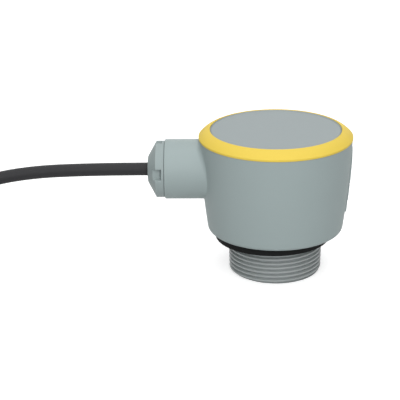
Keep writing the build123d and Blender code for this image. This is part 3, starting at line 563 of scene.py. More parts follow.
def side_slope(height):
    """Rate at which the outside radius grows with height."""
    share = (height - BASE_Z) / SHELL_HEIGHT
    return (RIM_R - BASE_R + 4 * SIDE_BOW * (1 - 2 * share)) / SHELL_HEIGHT


def from_neck(radius, height, turn):
    """Points about the housing's axis; turn is the angle from the neck's side."""
    return placed(-radius * np.cos(turn), radius * np.sin(turn), height)


def on_side(turn, height, proud=0.0):
    """Points on the housing's side; turn is the angle from the neck's side."""
    return from_neck(side_radius(height) + proud, height, turn)


PATCH_STEPS = 26
PATCH_TURN = radians(37.0)
PATCH_HALF = 22.5
PATCH_LOW = NECK_Z - PATCH_HALF
PATCH_HIGH = NECK_Z + PATCH_HALF
PATCH_ROWS = 12
BLEND_ROWS = 7
NECK_ROWS = 8
REST_COLUMNS = 132
BLEND_RISE = 0.3
UNDER_RIM_FROM = 0.82
UNDER_RIM_SPAN = 0.16
UNDER_RIM_LESS = 0.62


def neck_blend():
    """Rolling-ball blend between neck and side. For each angle round the neck the ball's centre is
    one ball radius off both surfaces; the blend is the arc between its two contact points. The ball
    is large on the neck's upper half and small below, and small again right under the rim."""
    part = np.linspace(-1.0, 1.0, PATCH_STEPS + 1)[:-1]
    angles = np.concatenate([radians(45.0) * part + radians(90.0) * k for k in range(4)])
    ball = BLEND_LOW + (BLEND_HIGH - BLEND_LOW) * eased(np.cos(angles) + BLEND_RISE)
    ball = ball * (1.0 - UNDER_RIM_LESS * eased((np.cos(angles) - UNDER_RIM_FROM) / UNDER_RIM_SPAN))
    ball_y = (NECK_R + ball) * np.sin(angles)
    ball_z = NECK_Z + (NECK_R + ball) * np.cos(angles)
    foot_z = ball_z.copy()
    for _ in range(12):
        slope = side_slope(foot_z)
        foot_z = ball_z + ball * slope / np.sqrt(1 + slope**2)
    slope = side_slope(foot_z)
    ball_out = side_radius(foot_z) + ball / np.sqrt(1 + slope**2)
    ball_x = -np.sqrt(ball_out**2 - ball_y**2)
    turn = np.arcsin(ball_y / ball_out)
    centre = placed(ball_x, ball_y, ball_z)
    foot = on_side(turn, foot_z)
    neck = round_neck(-ball_x, NECK_R, angles)
    ball = ball[:, None]
    to_foot, to_neck = (foot - centre) / ball, (neck - centre) / ball
    swept = np.arccos(np.clip((to_foot * to_neck).sum(axis=1), -1.0, 1.0))[:, None]
    shares = np.linspace(0.0, 1.0, BLEND_ROWS + 1)[:, None, None]
    return angles, turn, foot_z, ball_x, centre + ball * arc(to_foot, to_neck, swept, shares)


def patch_edge():
    """Turn and height of points spaced evenly along the patch's square outline, from its upper
    corner beside the neck round to the start."""
    part = np.linspace(-1.0, 1.0, PATCH_STEPS + 1)[:-1]
    one = np.ones_like(part)
    middle, half = (PATCH_HIGH + PATCH_LOW) / 2, (PATCH_HIGH - PATCH_LOW) / 2
    turn = np.concatenate([part, one, -part, -one]) * PATCH_TURN
    height = middle + half * np.concatenate([one, -part, -one, part])
    return turn, height


LID_BORE_R = 34.3
SEAT_R = 33.2
SEAT_Z = 48.1
CAVITY_R = 31.15
FLOOR_TOP = 9.5
FLOOR_HOLE_R = 20.6
SKIRT = 6.0
SKIRT_START = 2.6
SKIRT_ROWS = 8
NECK_STEP = 0.3
FACE_GAP = 0.5

SPIGOT_R = 9.9
SPIGOT_LENGTH = 4.1
SPIGOT_PITCH = 1.5
SPIGOT_DEPTH = 0.75
SPIGOT_BORE_R = 7.05
SPIGOT_BORE_DEPTH = 8.0
SPIGOT_ROWS = 34
SPIGOT_RUN_OUT = 0.3
SPIGOT_TIP = 0.15


def spigot_thread(angles):
    """Threaded spigot that the nut is screwed on: its radius is a triangle wave with flattened
    crests along a right-hand helix, run out at the neck's face and chamfered at the end."""
    past = np.linspace(0.0, SPIGOT_LENGTH, SPIGOT_ROWS)[:, None]
    wave = np.abs(2 * ((past / SPIGOT_PITCH - angles / (2 * pi)) % 1.0) - 1.0)
    radius = SPIGOT_R - SPIGOT_DEPTH * np.clip(1.25 * wave - 0.2, 0.0, 1.0)
    root = SPIGOT_R - SPIGOT_DEPTH
    radius = np.minimum(radius, root + np.clip(past - SPIGOT_RUN_OUT, 0.0, None))
    radius = np.minimum(radius, root + SPIGOT_TIP + (SPIGOT_LENGTH - past))
    return round_neck(NECK_END + past, radius, angles)


def housing_skin():
    """Moulded shell: side with a patch opened for the neck, its blend, the neck, the gland's
    spigot, and the wall's inside; cut off flat at the rim."""
    angles, foot_turn, foot_z, ball_x, blend = neck_blend()
    edge_turn, edge_height = patch_edge()
    share = np.linspace(0.0, 1.0, PATCH_ROWS + 1)[:, None]
    patch_turn = edge_turn + (foot_turn - edge_turn) * share
    patch_height = edge_height + (foot_z - edge_height) * share
    patch = on_side(patch_turn, patch_height)

    reach = np.linspace(0.0, 1.0, NECK_ROWS + 1)[:, None]
    neck_stop = NECK_END - NECK_EDGE - NECK_STEP
    neck = round_neck(-ball_x + (neck_stop + ball_x) * reach, NECK_R, angles)
    face = softened(
        [(neck_stop, NECK_R), (NECK_END, NECK_R), (NECK_END, SPIGOT_R + FACE_GAP)], {1: NECK_EDGE}
    )
    spigot_end = NECK_END + SPIGOT_LENGTH
    well = NECK_END - SPIGOT_BORE_DEPTH
    bore = softened(
        [(spigot_end, SPIGOT_R - SPIGOT_DEPTH), (spigot_end, SPIGOT_BORE_R),
         (well, SPIGOT_BORE_R), (well, 0.0)],
        {1: 0.3},
    )
    neck_end = np.concatenate([neck_spun(face, angles), spigot_thread(angles), neck_spun(bore, angles)])

    inside_patch = np.linspace(-PATCH_TURN, PATCH_TURN, PATCH_STEPS + 1)
    outside = np.linspace(PATCH_TURN, 2 * pi - PATCH_TURN, REST_COLUMNS + 1)
    round_turn = np.concatenate([inside_patch, outside[1:-1]])
    low_outline = softened(
        [(LID_BORE_R, RIM_Z), (LID_BORE_R, SEAT_Z), (SEAT_R, SEAT_Z), (CAVITY_R, FLOOR_TOP),
         (FLOOR_HOLE_R, FLOOR_TOP), (FLOOR_HOLE_R, BASE_Z), (BASE_R, BASE_Z),
         (side_radius(BASE_Z + SKIRT), BASE_Z + SKIRT)],
        {6: BASE_FILLET}, steps=8,
    )[:-1]
    climb = np.linspace(BASE_Z + SKIRT_START, PATCH_LOW, SKIRT_ROWS)
    low_outline = np.vstack([low_outline, np.stack([side_radius(climb), climb], axis=1)])
    lower = from_neck(low_outline[:, :1], low_outline[:, 1:], round_turn)
    sides = on_side(outside, np.linspace(PATCH_LOW, PATCH_HIGH, PATCH_STEPS + 1)[:, None])

    grids = [
        (lower, False, True), (sides, False, False), (patch, False, True),
        (blend, False, True), (neck, False, True), (neck_end, False, True),
    ]
    skin = surface("housing_skin", grids)
    work = bmesh.new()
    work.from_mesh(skin.data)
    rim = Vector((0.0, 0.0, RIM_Z * MM))
    geometry = work.verts[:] + work.edges[:] + work.faces[:]
    bmesh.ops.bisect_plane(work, geom=geometry, plane_co=rim, plane_no=(0, 0, 1), clear_outer=True)
    border = [edge for edge in work.edges if edge.is_boundary]
    bmesh.ops.triangle_fill(work, use_beauty=True, use_dissolve=False, edges=border)
    bmesh.ops.recalc_face_normals(work, faces=work.faces)
    work.to_mesh(skin.data)
    work.free()
    shade(skin.data, 38.0)
    return skin


# Each raised bar: lower end, upper end, and how far its face leans in at the top
BARS = ((39.7, 48.0, 0.35), (29.85, 38.6, 0.05), (20.65, 28.4, 0.05), (14.6, 19.5, 0.1))
BAR_WIDTH = 13.0
BAR_PROUD = 0.6
BAR_EDGE = 0.35
BAR_SINK = 0.4
BAR_BACK = 0.6
BAR_MARGIN = 1.2
ARC_MIDDLE = 0.29


def raised_bar(low, high, lean):
    """Plain bar on the side away from the neck: a grid over the side whose rows and columns
    stand proud in the middle and sink below the skin at their ends, with rounded edges; its face
    leans inwards to the top."""
    edge, half = BAR_EDGE, BAR_WIDTH / 2
    inner = half - BAR_MARGIN
    lift = np.array([-BAR_SINK, BAR_PROUD - edge, BAR_PROUD - ARC_MIDDLE * edge, BAR_PROUD, BAR_PROUD])
    inset = np.array([0.0, 0.0, ARC_MIDDLE * edge, edge, edge + 0.12])
    across = np.concatenate([inset - half, np.linspace(-inner, inner, 8), half - inset[::-1]])
    climb = np.linspace(low + BAR_MARGIN, high - BAR_MARGIN, 5)
    up = np.concatenate([low + inset, climb, high - inset[::-1]])
    across_lift = np.concatenate([lift, np.full(8, BAR_PROUD), lift[::-1]])
    up_lift = np.concatenate([lift, np.full(5, BAR_PROUD), lift[::-1]])
    height = up[:, None]
    proud = np.minimum(up_lift[:, None], across_lift) - lean * (height - low) / (high - low)
    return on_side(pi + across / RIM_R, height, proud)


def side_bars():
    """The raised bars, each closed by a back grid that shares its border and lies under the skin."""
    grids = []
    for low, high, lean in BARS:
        face = raised_bar(low, high, lean)
        edge = np.zeros(face.shape[:2], bool)
        edge[[0, -1], :] = True
        edge[:, [0, -1]] = True
        turn = pi + np.linspace(-BAR_WIDTH / 2, BAR_WIDTH / 2, face.shape[1]) / RIM_R
        sunk = on_side(turn, face[..., 2], -BAR_BACK)
        grids += [(face, False, False), (np.where(edge[..., None], face, sunk), False, False)]
    return surface("side_bars", grids, sharp=60.0)


housing = housing_skin()
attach(housing, SENSOR)
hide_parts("housing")
bars = side_bars()
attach(bars, SENSOR)


# Lid, trim ring, gasket

LID_TOP_Z = 56.95
LID_FACE_Z = 56.5
LID_BORDER = 0.75
LID_R = 32.95
LID_SHOULDER_Z = 54.1
LID_FLANGE_R = 34.05
LID_WALL_IN = 31.55
LID_UNDER_Z = 53.6
TRIM_TOP_Z = 57.15
TRIM_GAP = 0.12
TRIM_FOOT = 0.08
TRIM_R = 38.75

lid_outline = softened(
    [(0.0, LID_FACE_Z), (LID_R - LID_BORDER, LID_FACE_Z), (LID_R - LID_BORDER / 3, LID_TOP_Z),
     (LID_R, LID_TOP_Z), (LID_R, LID_SHOULDER_Z), (LID_FLANGE_R, LID_SHOULDER_Z),
     (LID_FLANGE_R, SEAT_Z), (LID_WALL_IN, SEAT_Z), (LID_WALL_IN, LID_UNDER_Z), (0.0, LID_UNDER_Z)],
    {1: 0.1, 2: 0.12, 3: 0.22}, hold=0.03,
)
lid = surface("lid_face", [(spun(lid_outline, 192), False, True)])
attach(lid, SENSOR)
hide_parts("lid_disc")

TRIM_IN = LID_R + TRIM_GAP
TRIM_LOW = RIM_Z + TRIM_FOOT
TRIM_FLANGE_R = 34.29
TRIM_FLANGE_Z = LID_SHOULDER_Z + TRIM_GAP
TRIM_RIM = 1.15
TRIM_EDGE = 0.12
TRIM_CREST = 0.45
TRIM_CROWN = 0.4


def trim_slope(steps=9):
    """Ring's top from its rim up to its inner edge: the straight slope plus a parabola's bulge."""
    share = np.linspace(0.0, 1.0, steps)[:, None]
    low = np.array([TRIM_R - TRIM_EDGE, TRIM_LOW + TRIM_RIM])
    high = np.array([TRIM_IN + TRIM_CREST, TRIM_TOP_Z])
    out = np.array([high[1] - low[1], low[0] - high[0]]) / np.linalg.norm(high - low)
    return low + (high - low) * share + 4 * TRIM_CROWN * share * (1 - share) * out


trim_outline = np.vstack([
    softened(
        [(TRIM_IN, TRIM_FLANGE_Z), (TRIM_FLANGE_R, TRIM_FLANGE_Z), (TRIM_FLANGE_R, TRIM_LOW),
         (TRIM_R, TRIM_LOW), (TRIM_R, TRIM_LOW + TRIM_RIM - TRIM_EDGE)],
        {3: 0.2}, hold=0.04,
    ),
    trim_slope(),
    [(TRIM_IN + 0.1, TRIM_TOP_Z - 0.04), (TRIM_IN, TRIM_TOP_Z - 0.2)],
])
trim = surface("trim_ring_yellow", [(spun(trim_outline, 224), True, True)], sharp=24.0)
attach(trim, SENSOR)
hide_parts("trim_ring")

GASKET_SHIFT = -1.302
GASKET_R = 29.4
GASKET_IN = 25.3
GASKET_EDGE = 0.3
gasket_outline = softened(
    [(GASKET_IN, 0.0), (GASKET_R, 0.0), (GASKET_R, BASE_Z), (GASKET_IN, BASE_Z)],
    dict.fromkeys(range(4), GASKET_EDGE),
)
gasket = surface("gasket_flat", [(spun(gasket_outline, 160, (GASKET_SHIFT, 0.0)), True, True)])
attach(gasket, SENSOR)
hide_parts("process_gasket")


# Process thread

THREAD_R = 23.9
THREAD_PITCH = 2.309
THREAD_DEPTH = 1.6
ROOT_SHARE = 0.28
CREST_SHARE = 0.32
CROWN = 0.06
THREAD_DRAFT = 0.02
FRONT_GROOVE_Z = -3.32
THREAD_COLUMNS = 240
THREAD_ROWS = 24
END_R = THREAD_R - 1.45
RELIEF_R = THREAD_R - 1.6
RELIEF_LOW = -1.2
RELIEF_SLOPE = 1.9
SHOULDER_R = 22.3
SLEEVE_R = 20.5
SLEEVE_TOP = 16.5
SLEEVE_BORE_R = 17.5
BORE_FLOOR = -14.5


def thread_radius(turn, height):
    """Radius of a right-hand pipe thread of moulded plastic: a broad rounded crest, straight flanks
    and a narrow root along the helix. It tapers slightly towards the end, where the chamfer cuts it,
    and stops at the relief groove under the gasket."""
    along = (height - FRONT_GROOVE_Z) / THREAD_PITCH - (turn + pi / 2) / (2 * pi)
    wave = np.abs(2 * (along - np.round(along)))
    cut = np.clip((wave - ROOT_SHARE) / (1.0 - CREST_SHARE - ROOT_SHARE), 0.0, 1.0)
    crown = np.clip((wave - 1.0 + CREST_SHARE) / CREST_SHARE, 0.0, 1.0)
    radius = THREAD_R - CROWN - THREAD_DEPTH * (1 - cut) + CROWN * np.sqrt(1 - (1 - crown) ** 2)
    radius = radius + THREAD_DRAFT * height
    radius = np.minimum(radius, RELIEF_R + np.clip(RELIEF_LOW - height, 0.0, 2.0) * RELIEF_SLOPE)
    return np.minimum(radius, END_R + (height - FLOOR_Z))


def thread_body():
    """Threaded body: the helical wall on an even grid, its flat end, and the hidden sleeve above
    with the dished floor of its bore."""
    turn = 2 * pi * np.arange(THREAD_COLUMNS) / THREAD_COLUMNS
    height = np.arange(FLOOR_Z, 0.0, THREAD_PITCH / THREAD_ROWS)[:, None]
    height = np.vstack([height, [[0.0]]])
    radius = thread_radius(turn, height)
    wall = around(radius, height, turn)
    base = np.array([(reach, FLOOR_Z) for reach in (0.0, 8.0, 15.0, 19.0, END_R - 0.25)])
    top = np.array([
        (SHOULDER_R, 0.0), (SHOULDER_R, BASE_Z), (SLEEVE_R, BASE_Z), (SLEEVE_R, SLEEVE_TOP),
        (SLEEVE_BORE_R, SLEEVE_TOP), (SLEEVE_BORE_R, BORE_FLOOR), (15.0, BORE_FLOOR),
        (11.0, -12.2), (6.0, -10.3), (0.0, -9.5),
    ])
    rows = np.concatenate([spun(base, THREAD_COLUMNS), wall, spun(top, THREAD_COLUMNS)])
    return surface("thread_body", [(rows, False, True)], sharp=50.0)


fitting = thread_body()
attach(fitting, SENSOR)
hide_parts("process_fitting")


# Gland nut

NUT_REAR = NECK_END + 0.1
NUT_R = 14.33
NUT_RIM = 4.2
NUT_NOSE = NUT_REAR + 8.5
NUT_NOSE_R = 6.5
NUT_WELL = NUT_REAR + 5.6
NUT_BORE_R = 3.65
NUT_BEVEL = 0.25
NUT_THREAD_R = 10.0
NOTCH_HALF = 2.4
NOTCH_FLOOR_R = 11.7
NOTCH_GROOVE = 0.5
NOTCH_GROOVE_LENGTH = 0.9
NOTCH_RIM = 1.22
NOTCH_TURN = radians(5.2)
NOTCH_SOFT = 0.2
NOTCH_COLUMNS = 9
LAND_COLUMNS = 19


def nut_outline():
    """Turned outline of the nut from its rear edge over the rim and down the bowed cone to its nose,
    and the number of its first point that the notches cut."""
    rear = softened([(NUT_REAR, NUT_THREAD_R), (NUT_REAR, NUT_R), (NUT_REAR + 2.0, NUT_R)], {1: 0.22})[1:-1]
    wall = NUT_REAR + NOTCH_RIM
    behind = [(wall - 0.12, NUT_R), (wall, NUT_R)]
    ahead = [(wall + 0.02, NUT_R), (wall + 0.16, NUT_R)]
    nose = softened(
        [(NUT_REAR, NUT_R), (NUT_REAR + NUT_RIM, NUT_R), (NUT_NOSE, NUT_NOSE_R), (NUT_NOSE, NUT_BORE_R)],
        {1: 0.35, 2: 1.6},
    )[1:-1]
    run = np.linspace(wall + 0.6, nose[0, 0] - 0.1, 5)
    flat = np.stack([run, np.full(5, NUT_R)], axis=1)
    front = finer(np.vstack([ahead, flat, nose]), 0.35)
    return np.vstack([rear, behind, front]), len(rear) + len(behind)


def gland_nut():
    """Round compression nut: the turned outline, whose distance from the axis drops to a flat notch
    floor in four sectors. Along the notch floor the distance is the floor's own distance divided by
    the cosine of the angle from the notch's middle, and it falls into a short groove at the wall.
    Between two notches the columns share out the angle that is left, so the last one follows the
    notch's straight side. They stand closer near the notches, where the edge is rounded: it drops by
    a quarter circle whose radius is NOTCH_SOFT times the notch's depth."""
    outline, first_cut = nut_outline()
    radius = outline[:, 1][:, None, None]
    cut = (np.arange(len(outline)) >= first_cut)[:, None, None]
    quarter = radians(90.0)
    middle = (NOTCH_TURN + quarter * np.arange(4))[:, None]

    foot_angle = atan((NOTCH_HALF - 0.12) / NOTCH_FLOOR_R)
    across = foot_angle * np.linspace(-0.999, 0.999, NOTCH_COLUMNS)
    from_wall = outline[:, 0][:, None, None] - NUT_REAR - NOTCH_RIM
    groove = NOTCH_GROOVE * np.clip(1.6 - 1.6 * from_wall / NOTCH_GROOVE_LENGTH, 0.0, 1.0)
    floor_reach = np.where(cut, np.minimum(radius, (NOTCH_FLOOR_R - groove) / np.cos(across)), radius)
    side_angle = np.arcsin((NOTCH_HALF + 0.1) / np.maximum(radius, NOTCH_HALF + 0.5))
    side_angle = np.clip(side_angle, foot_angle + 0.004, radians(40.0))
    land_share = 0.5 - 0.5 * np.cos(pi * np.linspace(0.0, 1.0, LAND_COLUMNS))
    land_angle = middle + side_angle + land_share * (quarter - 2 * side_angle)
    from_edge = radius * (quarter - 2 * side_angle) * np.minimum(land_share, 1.0 - land_share)
    edge = np.where(cut, NOTCH_SOFT * np.maximum(radius - NOTCH_FLOOR_R, 0.0), 0.0)
    rounded = np.sqrt(np.maximum(edge ** 2 - np.maximum(edge - from_edge, 0.0) ** 2, 0.0))
    land_reach = radius - edge + rounded

    angle = np.concatenate([middle + across + 0 * radius, land_angle], axis=2)
    reach = np.concatenate([floor_reach + 0 * middle, land_reach + 0 * land_angle], axis=2)
    angle, reach = angle.reshape(len(outline), -1), reach.reshape(len(outline), -1)
    skin = round_neck(outline[:, :1], reach, angle)
    rear = np.array([(NUT_WELL, NUT_BORE_R), (NUT_WELL, NUT_THREAD_R), (NUT_REAR, NUT_THREAD_R)])
    bore = np.array([
        (NUT_NOSE, NUT_BORE_R + NUT_BEVEL), (NUT_NOSE - NUT_BEVEL, NUT_BORE_R), (NUT_WELL, NUT_BORE_R),
    ])
    rows = np.concatenate([neck_spun(rear, angle[0]), skin, neck_spun(bore, angle[-1])])
    return surface("gland_nut_round", [(rows, True, True)], sharp=35.0)


nut = gland_nut()
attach(nut, NUT)
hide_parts("gland_nut")


# Materials

def node_group(name, inputs, outputs):
    """Empty shader group with named sockets; returns the group with its input and output nodes."""
    group = bpy.data.node_groups.new(name, "ShaderNodeTree")
    for title, kind, value in inputs:
        socket = group.interface.new_socket(name=title, in_out="INPUT", socket_type=kind)
        socket.default_value = value
    for title, kind in outputs:
        group.interface.new_socket(name=title, in_out="OUTPUT", socket_type=kind)
    return group, group.nodes.new("NodeGroupInput"), group.nodes.new("NodeGroupOutput")


def feed(tree, socket, value):
    """Gives an input socket a number, or links an output socket to it."""
    if isinstance(value, (int, float)):
        socket.default_value = value
    else:
        tree.links.new(value, socket)


def maths(tree, kind, a, b):
    """Result of a math node; each side is a number or an output socket."""
    node = tree.nodes.new("ShaderNodeMath")
    node.operation = kind
    feed(tree, node.inputs[0], a)
    feed(tree, node.inputs[1], b)
    return node.outputs[0]


def noise(tree, scale, detail):
    """Noise on the object's own coordinates; scale is in waves per metre."""
    where = tree.nodes.new("ShaderNodeTexCoord")
    node = tree.nodes.new("ShaderNodeTexNoise")
    feed(tree, node.inputs["Vector"], where.outputs["Object"])
    feed(tree, node.inputs["Scale"], scale)
    feed(tree, node.inputs["Detail"], detail)
    return node.outputs["Fac"]


BROAD_WAVES = 26.0
FINE_WAVES = 420.0
SPECK = 0.05
BROAD_ROUGH = 0.1


def moulded_group():
    """Moulded plastic: a colour that drifts a little over the surface, uneven roughness and the
    fine pits of a sparked mould."""
    tree, given, result = node_group(
        "moulded_surface",
        [("Color", "NodeSocketColor", (0.3, 0.3, 0.3, 1.0)), ("Drift", "NodeSocketFloat", 0.05),
         ("Roughness", "NodeSocketFloat", 0.5), ("Uneven", "NodeSocketFloat", 0.06),
         ("Grain Scale", "NodeSocketFloat", 3000.0)],
        [("Color", "NodeSocketColor"), ("Roughness", "NodeSocketFloat"), ("Height", "NodeSocketFloat")],
    )
    broad = maths(tree, "SUBTRACT", noise(tree, BROAD_WAVES, 3.0), 0.5)
    fine = maths(tree, "SUBTRACT", noise(tree, FINE_WAVES, 2.0), 0.5)
    grain = noise(tree, given.outputs["Grain Scale"], 3.0)

    drift = maths(tree, "MULTIPLY", broad, given.outputs["Drift"])
    speck = maths(tree, "MULTIPLY", maths(tree, "SUBTRACT", grain, 0.5), SPECK)
    shade_by = tree.nodes.new("ShaderNodeVectorMath")
    shade_by.operation = "SCALE"
    feed(tree, shade_by.inputs[0], given.outputs["Color"])
    feed(tree, shade_by.inputs["Scale"], maths(tree, "ADD", maths(tree, "ADD", drift, speck), 1.0))

    uneven = maths(tree, "MULTIPLY", fine, given.outputs["Uneven"])
    rough = maths(tree, "ADD", uneven, maths(tree, "MULTIPLY", broad, BROAD_ROUGH))
    rough = maths(tree, "ADD", rough, given.outputs["Roughness"])
    feed(tree, result.inputs["Color"], shade_by.outputs[0])
    feed(tree, result.inputs["Roughness"], rough)
    feed(tree, result.inputs["Height"], grain)
    return tree


MOULDED = moulded_group()


def moulded(name, color, roughness=0.5, drift=0.05, grain=3000.0, depth=0.25, lift=0.00002, ior=1.5,
            metallic=0.0):
    """Material on the moulded group, with its own colour, roughness, grain size and depth."""
    material = bpy.data.materials.new(name)
    material.use_nodes = True
    tree = material.node_tree
    shader = tree.nodes["Principled BSDF"]
    feed(tree, shader.inputs["IOR"], ior)
    feed(tree, shader.inputs["Metallic"], metallic)
    effect = tree.nodes.new("ShaderNodeGroup")
    effect.node_tree = MOULDED
    effect.inputs["Color"].default_value = (*color, 1.0)
    for title, value in (("Drift", drift), ("Roughness", roughness), ("Grain Scale", grain)):
        feed(tree, effect.inputs[title], value)
    bump = tree.nodes.new("ShaderNodeBump")
    feed(tree, bump.inputs["Strength"], depth)
    feed(tree, bump.inputs["Distance"], lift)
    feed(tree, shader.inputs["Base Color"], effect.outputs["Color"])
    feed(tree, shader.inputs["Roughness"], effect.outputs["Roughness"])
    feed(tree, bump.inputs["Height"], effect.outputs["Height"])
    feed(tree, shader.inputs["Normal"], bump.outputs["Normal"])
    return material


def linear(*levels):
    """Linear colour from 0 to 255 screen levels."""
    shares = [level / 255.0 for level in levels]
    return tuple(s / 12.92 if s <= 0.04045 else ((s + 0.055) / 1.055) ** 2.4 for s in shares)


def dress(piece, material):
    """Gives a piece one material on all its faces."""
    mesh = piece.data
    mesh.materials.clear()
    mesh.materials.append(material)
    mesh.polygons.foreach_set("material_index", [0] * len(mesh.polygons))


SPARKED = {"roughness": 0.55, "grain": 2200.0, "depth": 0.5, "lift": 0.00004}
CORE_SHEEN = {"roughness": 0.42, "grain": 1500.0, "depth": 0.1}
shell_grey = moulded("shell_grey", linear(138, 150, 150), ior=1.36, **SPARKED)
lid_grey = moulded(
    "lid_grey", linear(138, 146, 147), roughness=0.68, grain=2200.0, depth=0.12, drift=0.03, ior=1.32
)
trim_yellow = moulded("trim_yellow", linear(209, 183, 76), roughness=0.6, grain=2600.0, depth=0.12, ior=1.27)
seal_black = moulded("seal_black", linear(20, 21, 21), roughness=0.75, grain=1500.0, depth=0.3, ior=1.2)
thread_grey = moulded("thread_grey", linear(149, 155, 155), roughness=0.36, grain=1800.0, depth=0.1, ior=1.42)
nut_grey = moulded("nut_grey", linear(137, 148, 148), ior=1.3, **SPARKED)
jacket_black = moulded("jacket_black", linear(34, 34, 36), roughness=0.6, grain=1200.0, depth=0.2, ior=1.3)
black_plastic = moulded("black_plastic", linear(52, 54, 56), roughness=0.5)
white_plastic = moulded("white_plastic", linear(205, 205, 200), roughness=0.45)
turned_metal = moulded("turned_metal", (0.72, 0.73, 0.75), roughness=0.3, metallic=1.0, grain=5000.0)
resist_green = moulded("resist_green", (0.02, 0.15, 0.06), roughness=0.3, grain=900.0, drift=0.3)
chip_black = moulded("chip_black", (0.02, 0.02, 0.022), roughness=0.45, grain=4000.0)
tinned = moulded("tinned", (0.65, 0.64, 0.61), roughness=0.35, metallic=1.0, grain=3000.0)
plated = moulded("plated", (0.6, 0.6, 0.6), roughness=0.32, metallic=1.0, grain=4000.0)
ferrite = moulded("ferrite", (0.06, 0.06, 0.065), roughness=0.6, grain=1500.0)
can_metal = moulded("can_metal", (0.7, 0.71, 0.73), roughness=0.38, metallic=1.0, grain=3000.0)
terminal_green = moulded("terminal_green", (0.03, 0.22, 0.09), roughness=0.4)
core_brown = moulded("core_brown", (0.13, 0.05, 0.02), **CORE_SHEEN)
core_blue = moulded("core_blue", (0.03, 0.12, 0.42), **CORE_SHEEN)
tie_black = moulded("tie_black", linear(36, 36, 37), roughness=0.42, grain=1800.0, depth=0.15)

for piece, material in (
    (housing, shell_grey), (bars, shell_grey), (lid, lid_grey), (trim, trim_yellow),
    (gasket, seal_black), (fitting, thread_grey), (nut, nut_grey), (cable, jacket_black),
    (ties, tie_black), (stems, tinned), (collars, white_plastic),
    (far_cores["brown"], core_brown), (far_cores["blue"], core_blue),
):
    dress(piece, material)

INNER = {
    "lid_seal": seal_black, "fitting_seal": seal_black, "fitting_locknut": black_plastic,
    "antenna_horn": turned_metal, "radar_board": resist_green, "radar_chip": chip_black,
    "radar_shield": tinned, "radar_screws": plated, "electronics_carrier": black_plastic,
    "carrier_screws": plated, "main_board": resist_green, "board_screws": plated,
    "board_link": chip_black, "power_choke": ferrite, "capacitors": can_metal,
    "processor": chip_black, "terminal_block": terminal_green, "terminal_screws": plated,
    "lead_brown": core_brown, "lead_blue": core_blue, "gland_slip_ring": white_plastic,
    "gland_claws": white_plastic, "gland_grommet": seal_black,
}
for name, material in INNER.items():
    dress(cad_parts[name], material)


# Floor, light, background, in metres

FLOOR_HALF = 6.0
FLOOR_SINK = 0.05
FLOOR_GREY = 0.62
FLOOR_NEAR = 0.35
FLOOR_FAR = 1.6
WHITE_NEAR = 0.62
WHITE_FAR = 0.9
WORLD_LEVEL = 0.255
LAMP_AIM = (0.0, 0.0, 0.03)


def seen_rays(tree):
    """1 for rays from the camera and for rays seen in gloss or glass, otherwise 0."""
    path = tree.nodes.new("ShaderNodeLightPath")
    seen = maths(tree, "ADD", path.outputs["Is Camera Ray"], path.outputs["Is Glossy Ray"])
    seen = maths(tree, "ADD", seen, path.outputs["Is Transmission Ray"])
    return maths(tree, "MINIMUM", seen, 1.0)


def away_from_object(tree):
    """Strength of white that grows with the distance from the object's middle."""
    where = tree.nodes.new("ShaderNodeTexCoord").outputs["Object"]
    distance = tree.nodes.new("ShaderNodeVectorMath")
    distance.operation = "LENGTH"
    feed(tree, distance.inputs[0], where)
    ramp = tree.nodes.new("ShaderNodeMapRange")
    ramp.interpolation_type = "SMOOTHSTEP"
    feed(tree, ramp.inputs["From Min"], FLOOR_NEAR)
    feed(tree, ramp.inputs["From Max"], FLOOR_FAR)
    feed(tree, ramp.inputs["To Min"], WHITE_NEAR)
    feed(tree, ramp.inputs["To Max"], WHITE_FAR)
    feed(tree, ramp.inputs["Value"], distance.outputs["Value"])
    return ramp.outputs["Result"]


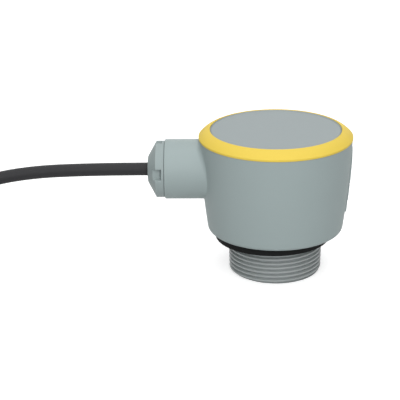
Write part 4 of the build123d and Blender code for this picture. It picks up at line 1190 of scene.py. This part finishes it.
def white_for_camera(tree, lit, strength):
    """Adds plain white to a shader for the rays that show the background."""
    glow = tree.nodes.new("ShaderNodeEmission")
    feed(tree, glow.inputs["Strength"], maths(tree, "MULTIPLY", seen_rays(tree), strength))
    total = tree.nodes.new("ShaderNodeAddShader")
    feed(tree, total.inputs[0], lit)
    feed(tree, total.inputs[1], glow.outputs[0])
    return total.outputs[0]


def pale_floor():
    """Large plain floor under the thread's end and the coil, which turns to the background's white
    away from the object, past its shadow."""
    mesh = bpy.data.meshes.new("floor")
    half, z = FLOOR_HALF, (FLOOR_Z - FLOOR_SINK) * MM
    corners = [(-half, -half, z), (half, -half, z), (half, half, z), (-half, half, z)]
    mesh.from_pydata(corners, [], [(0, 1, 2, 3)])
    floor = bpy.data.objects.new("floor", mesh)
    bpy.context.scene.collection.objects.link(floor)
    material = bpy.data.materials.new("floor_pale")
    material.use_nodes = True
    tree = material.node_tree
    tree.nodes.remove(tree.nodes["Principled BSDF"])
    matt = tree.nodes.new("ShaderNodeBsdfDiffuse")
    matt.inputs["Color"].default_value = (FLOOR_GREY, FLOOR_GREY, FLOOR_GREY, 1.0)
    shown = white_for_camera(tree, matt.outputs[0], away_from_object(tree))
    feed(tree, tree.nodes["Material Output"].inputs["Surface"], shown)
    mesh.materials.append(material)


def pale_world():
    """Even surroundings: soft light on the object and white behind it."""
    world = bpy.data.worlds.new("surroundings")
    bpy.context.scene.world = world
    world.use_nodes = True
    tree = world.node_tree
    back = tree.nodes["Background"]
    feed(tree, back.inputs["Strength"], maths(tree, "MAXIMUM", seen_rays(tree), WORLD_LEVEL))
    back.inputs["Color"].default_value = (1.0, 1.0, 1.0, 1.0)


def soft_lamp(name, place, size, power):
    """Square soft lamp aimed at the object."""
    data = bpy.data.lights.new(name, "AREA")
    data.shape = "SQUARE"
    data.size = size
    data.energy = power
    lamp = bpy.data.objects.new(name, data)
    lamp.location = place
    lamp.rotation_euler = (Vector(LAMP_AIM) - Vector(place)).to_track_quat("-Z", "Y").to_euler()
    bpy.context.scene.collection.objects.link(lamp)


pale_floor()
pale_world()
soft_lamp("overhead", (0.0, 0.0, 1.5), size=1.4, power=15.5)
soft_lamp("front", (0.0, -1.4, 0.85), size=1.6, power=25.0)
soft_lamp("back", (0.0, 1.5, 0.85), size=1.6, power=7.0)
bpy.context.scene.view_settings.view_transform = "Standard"
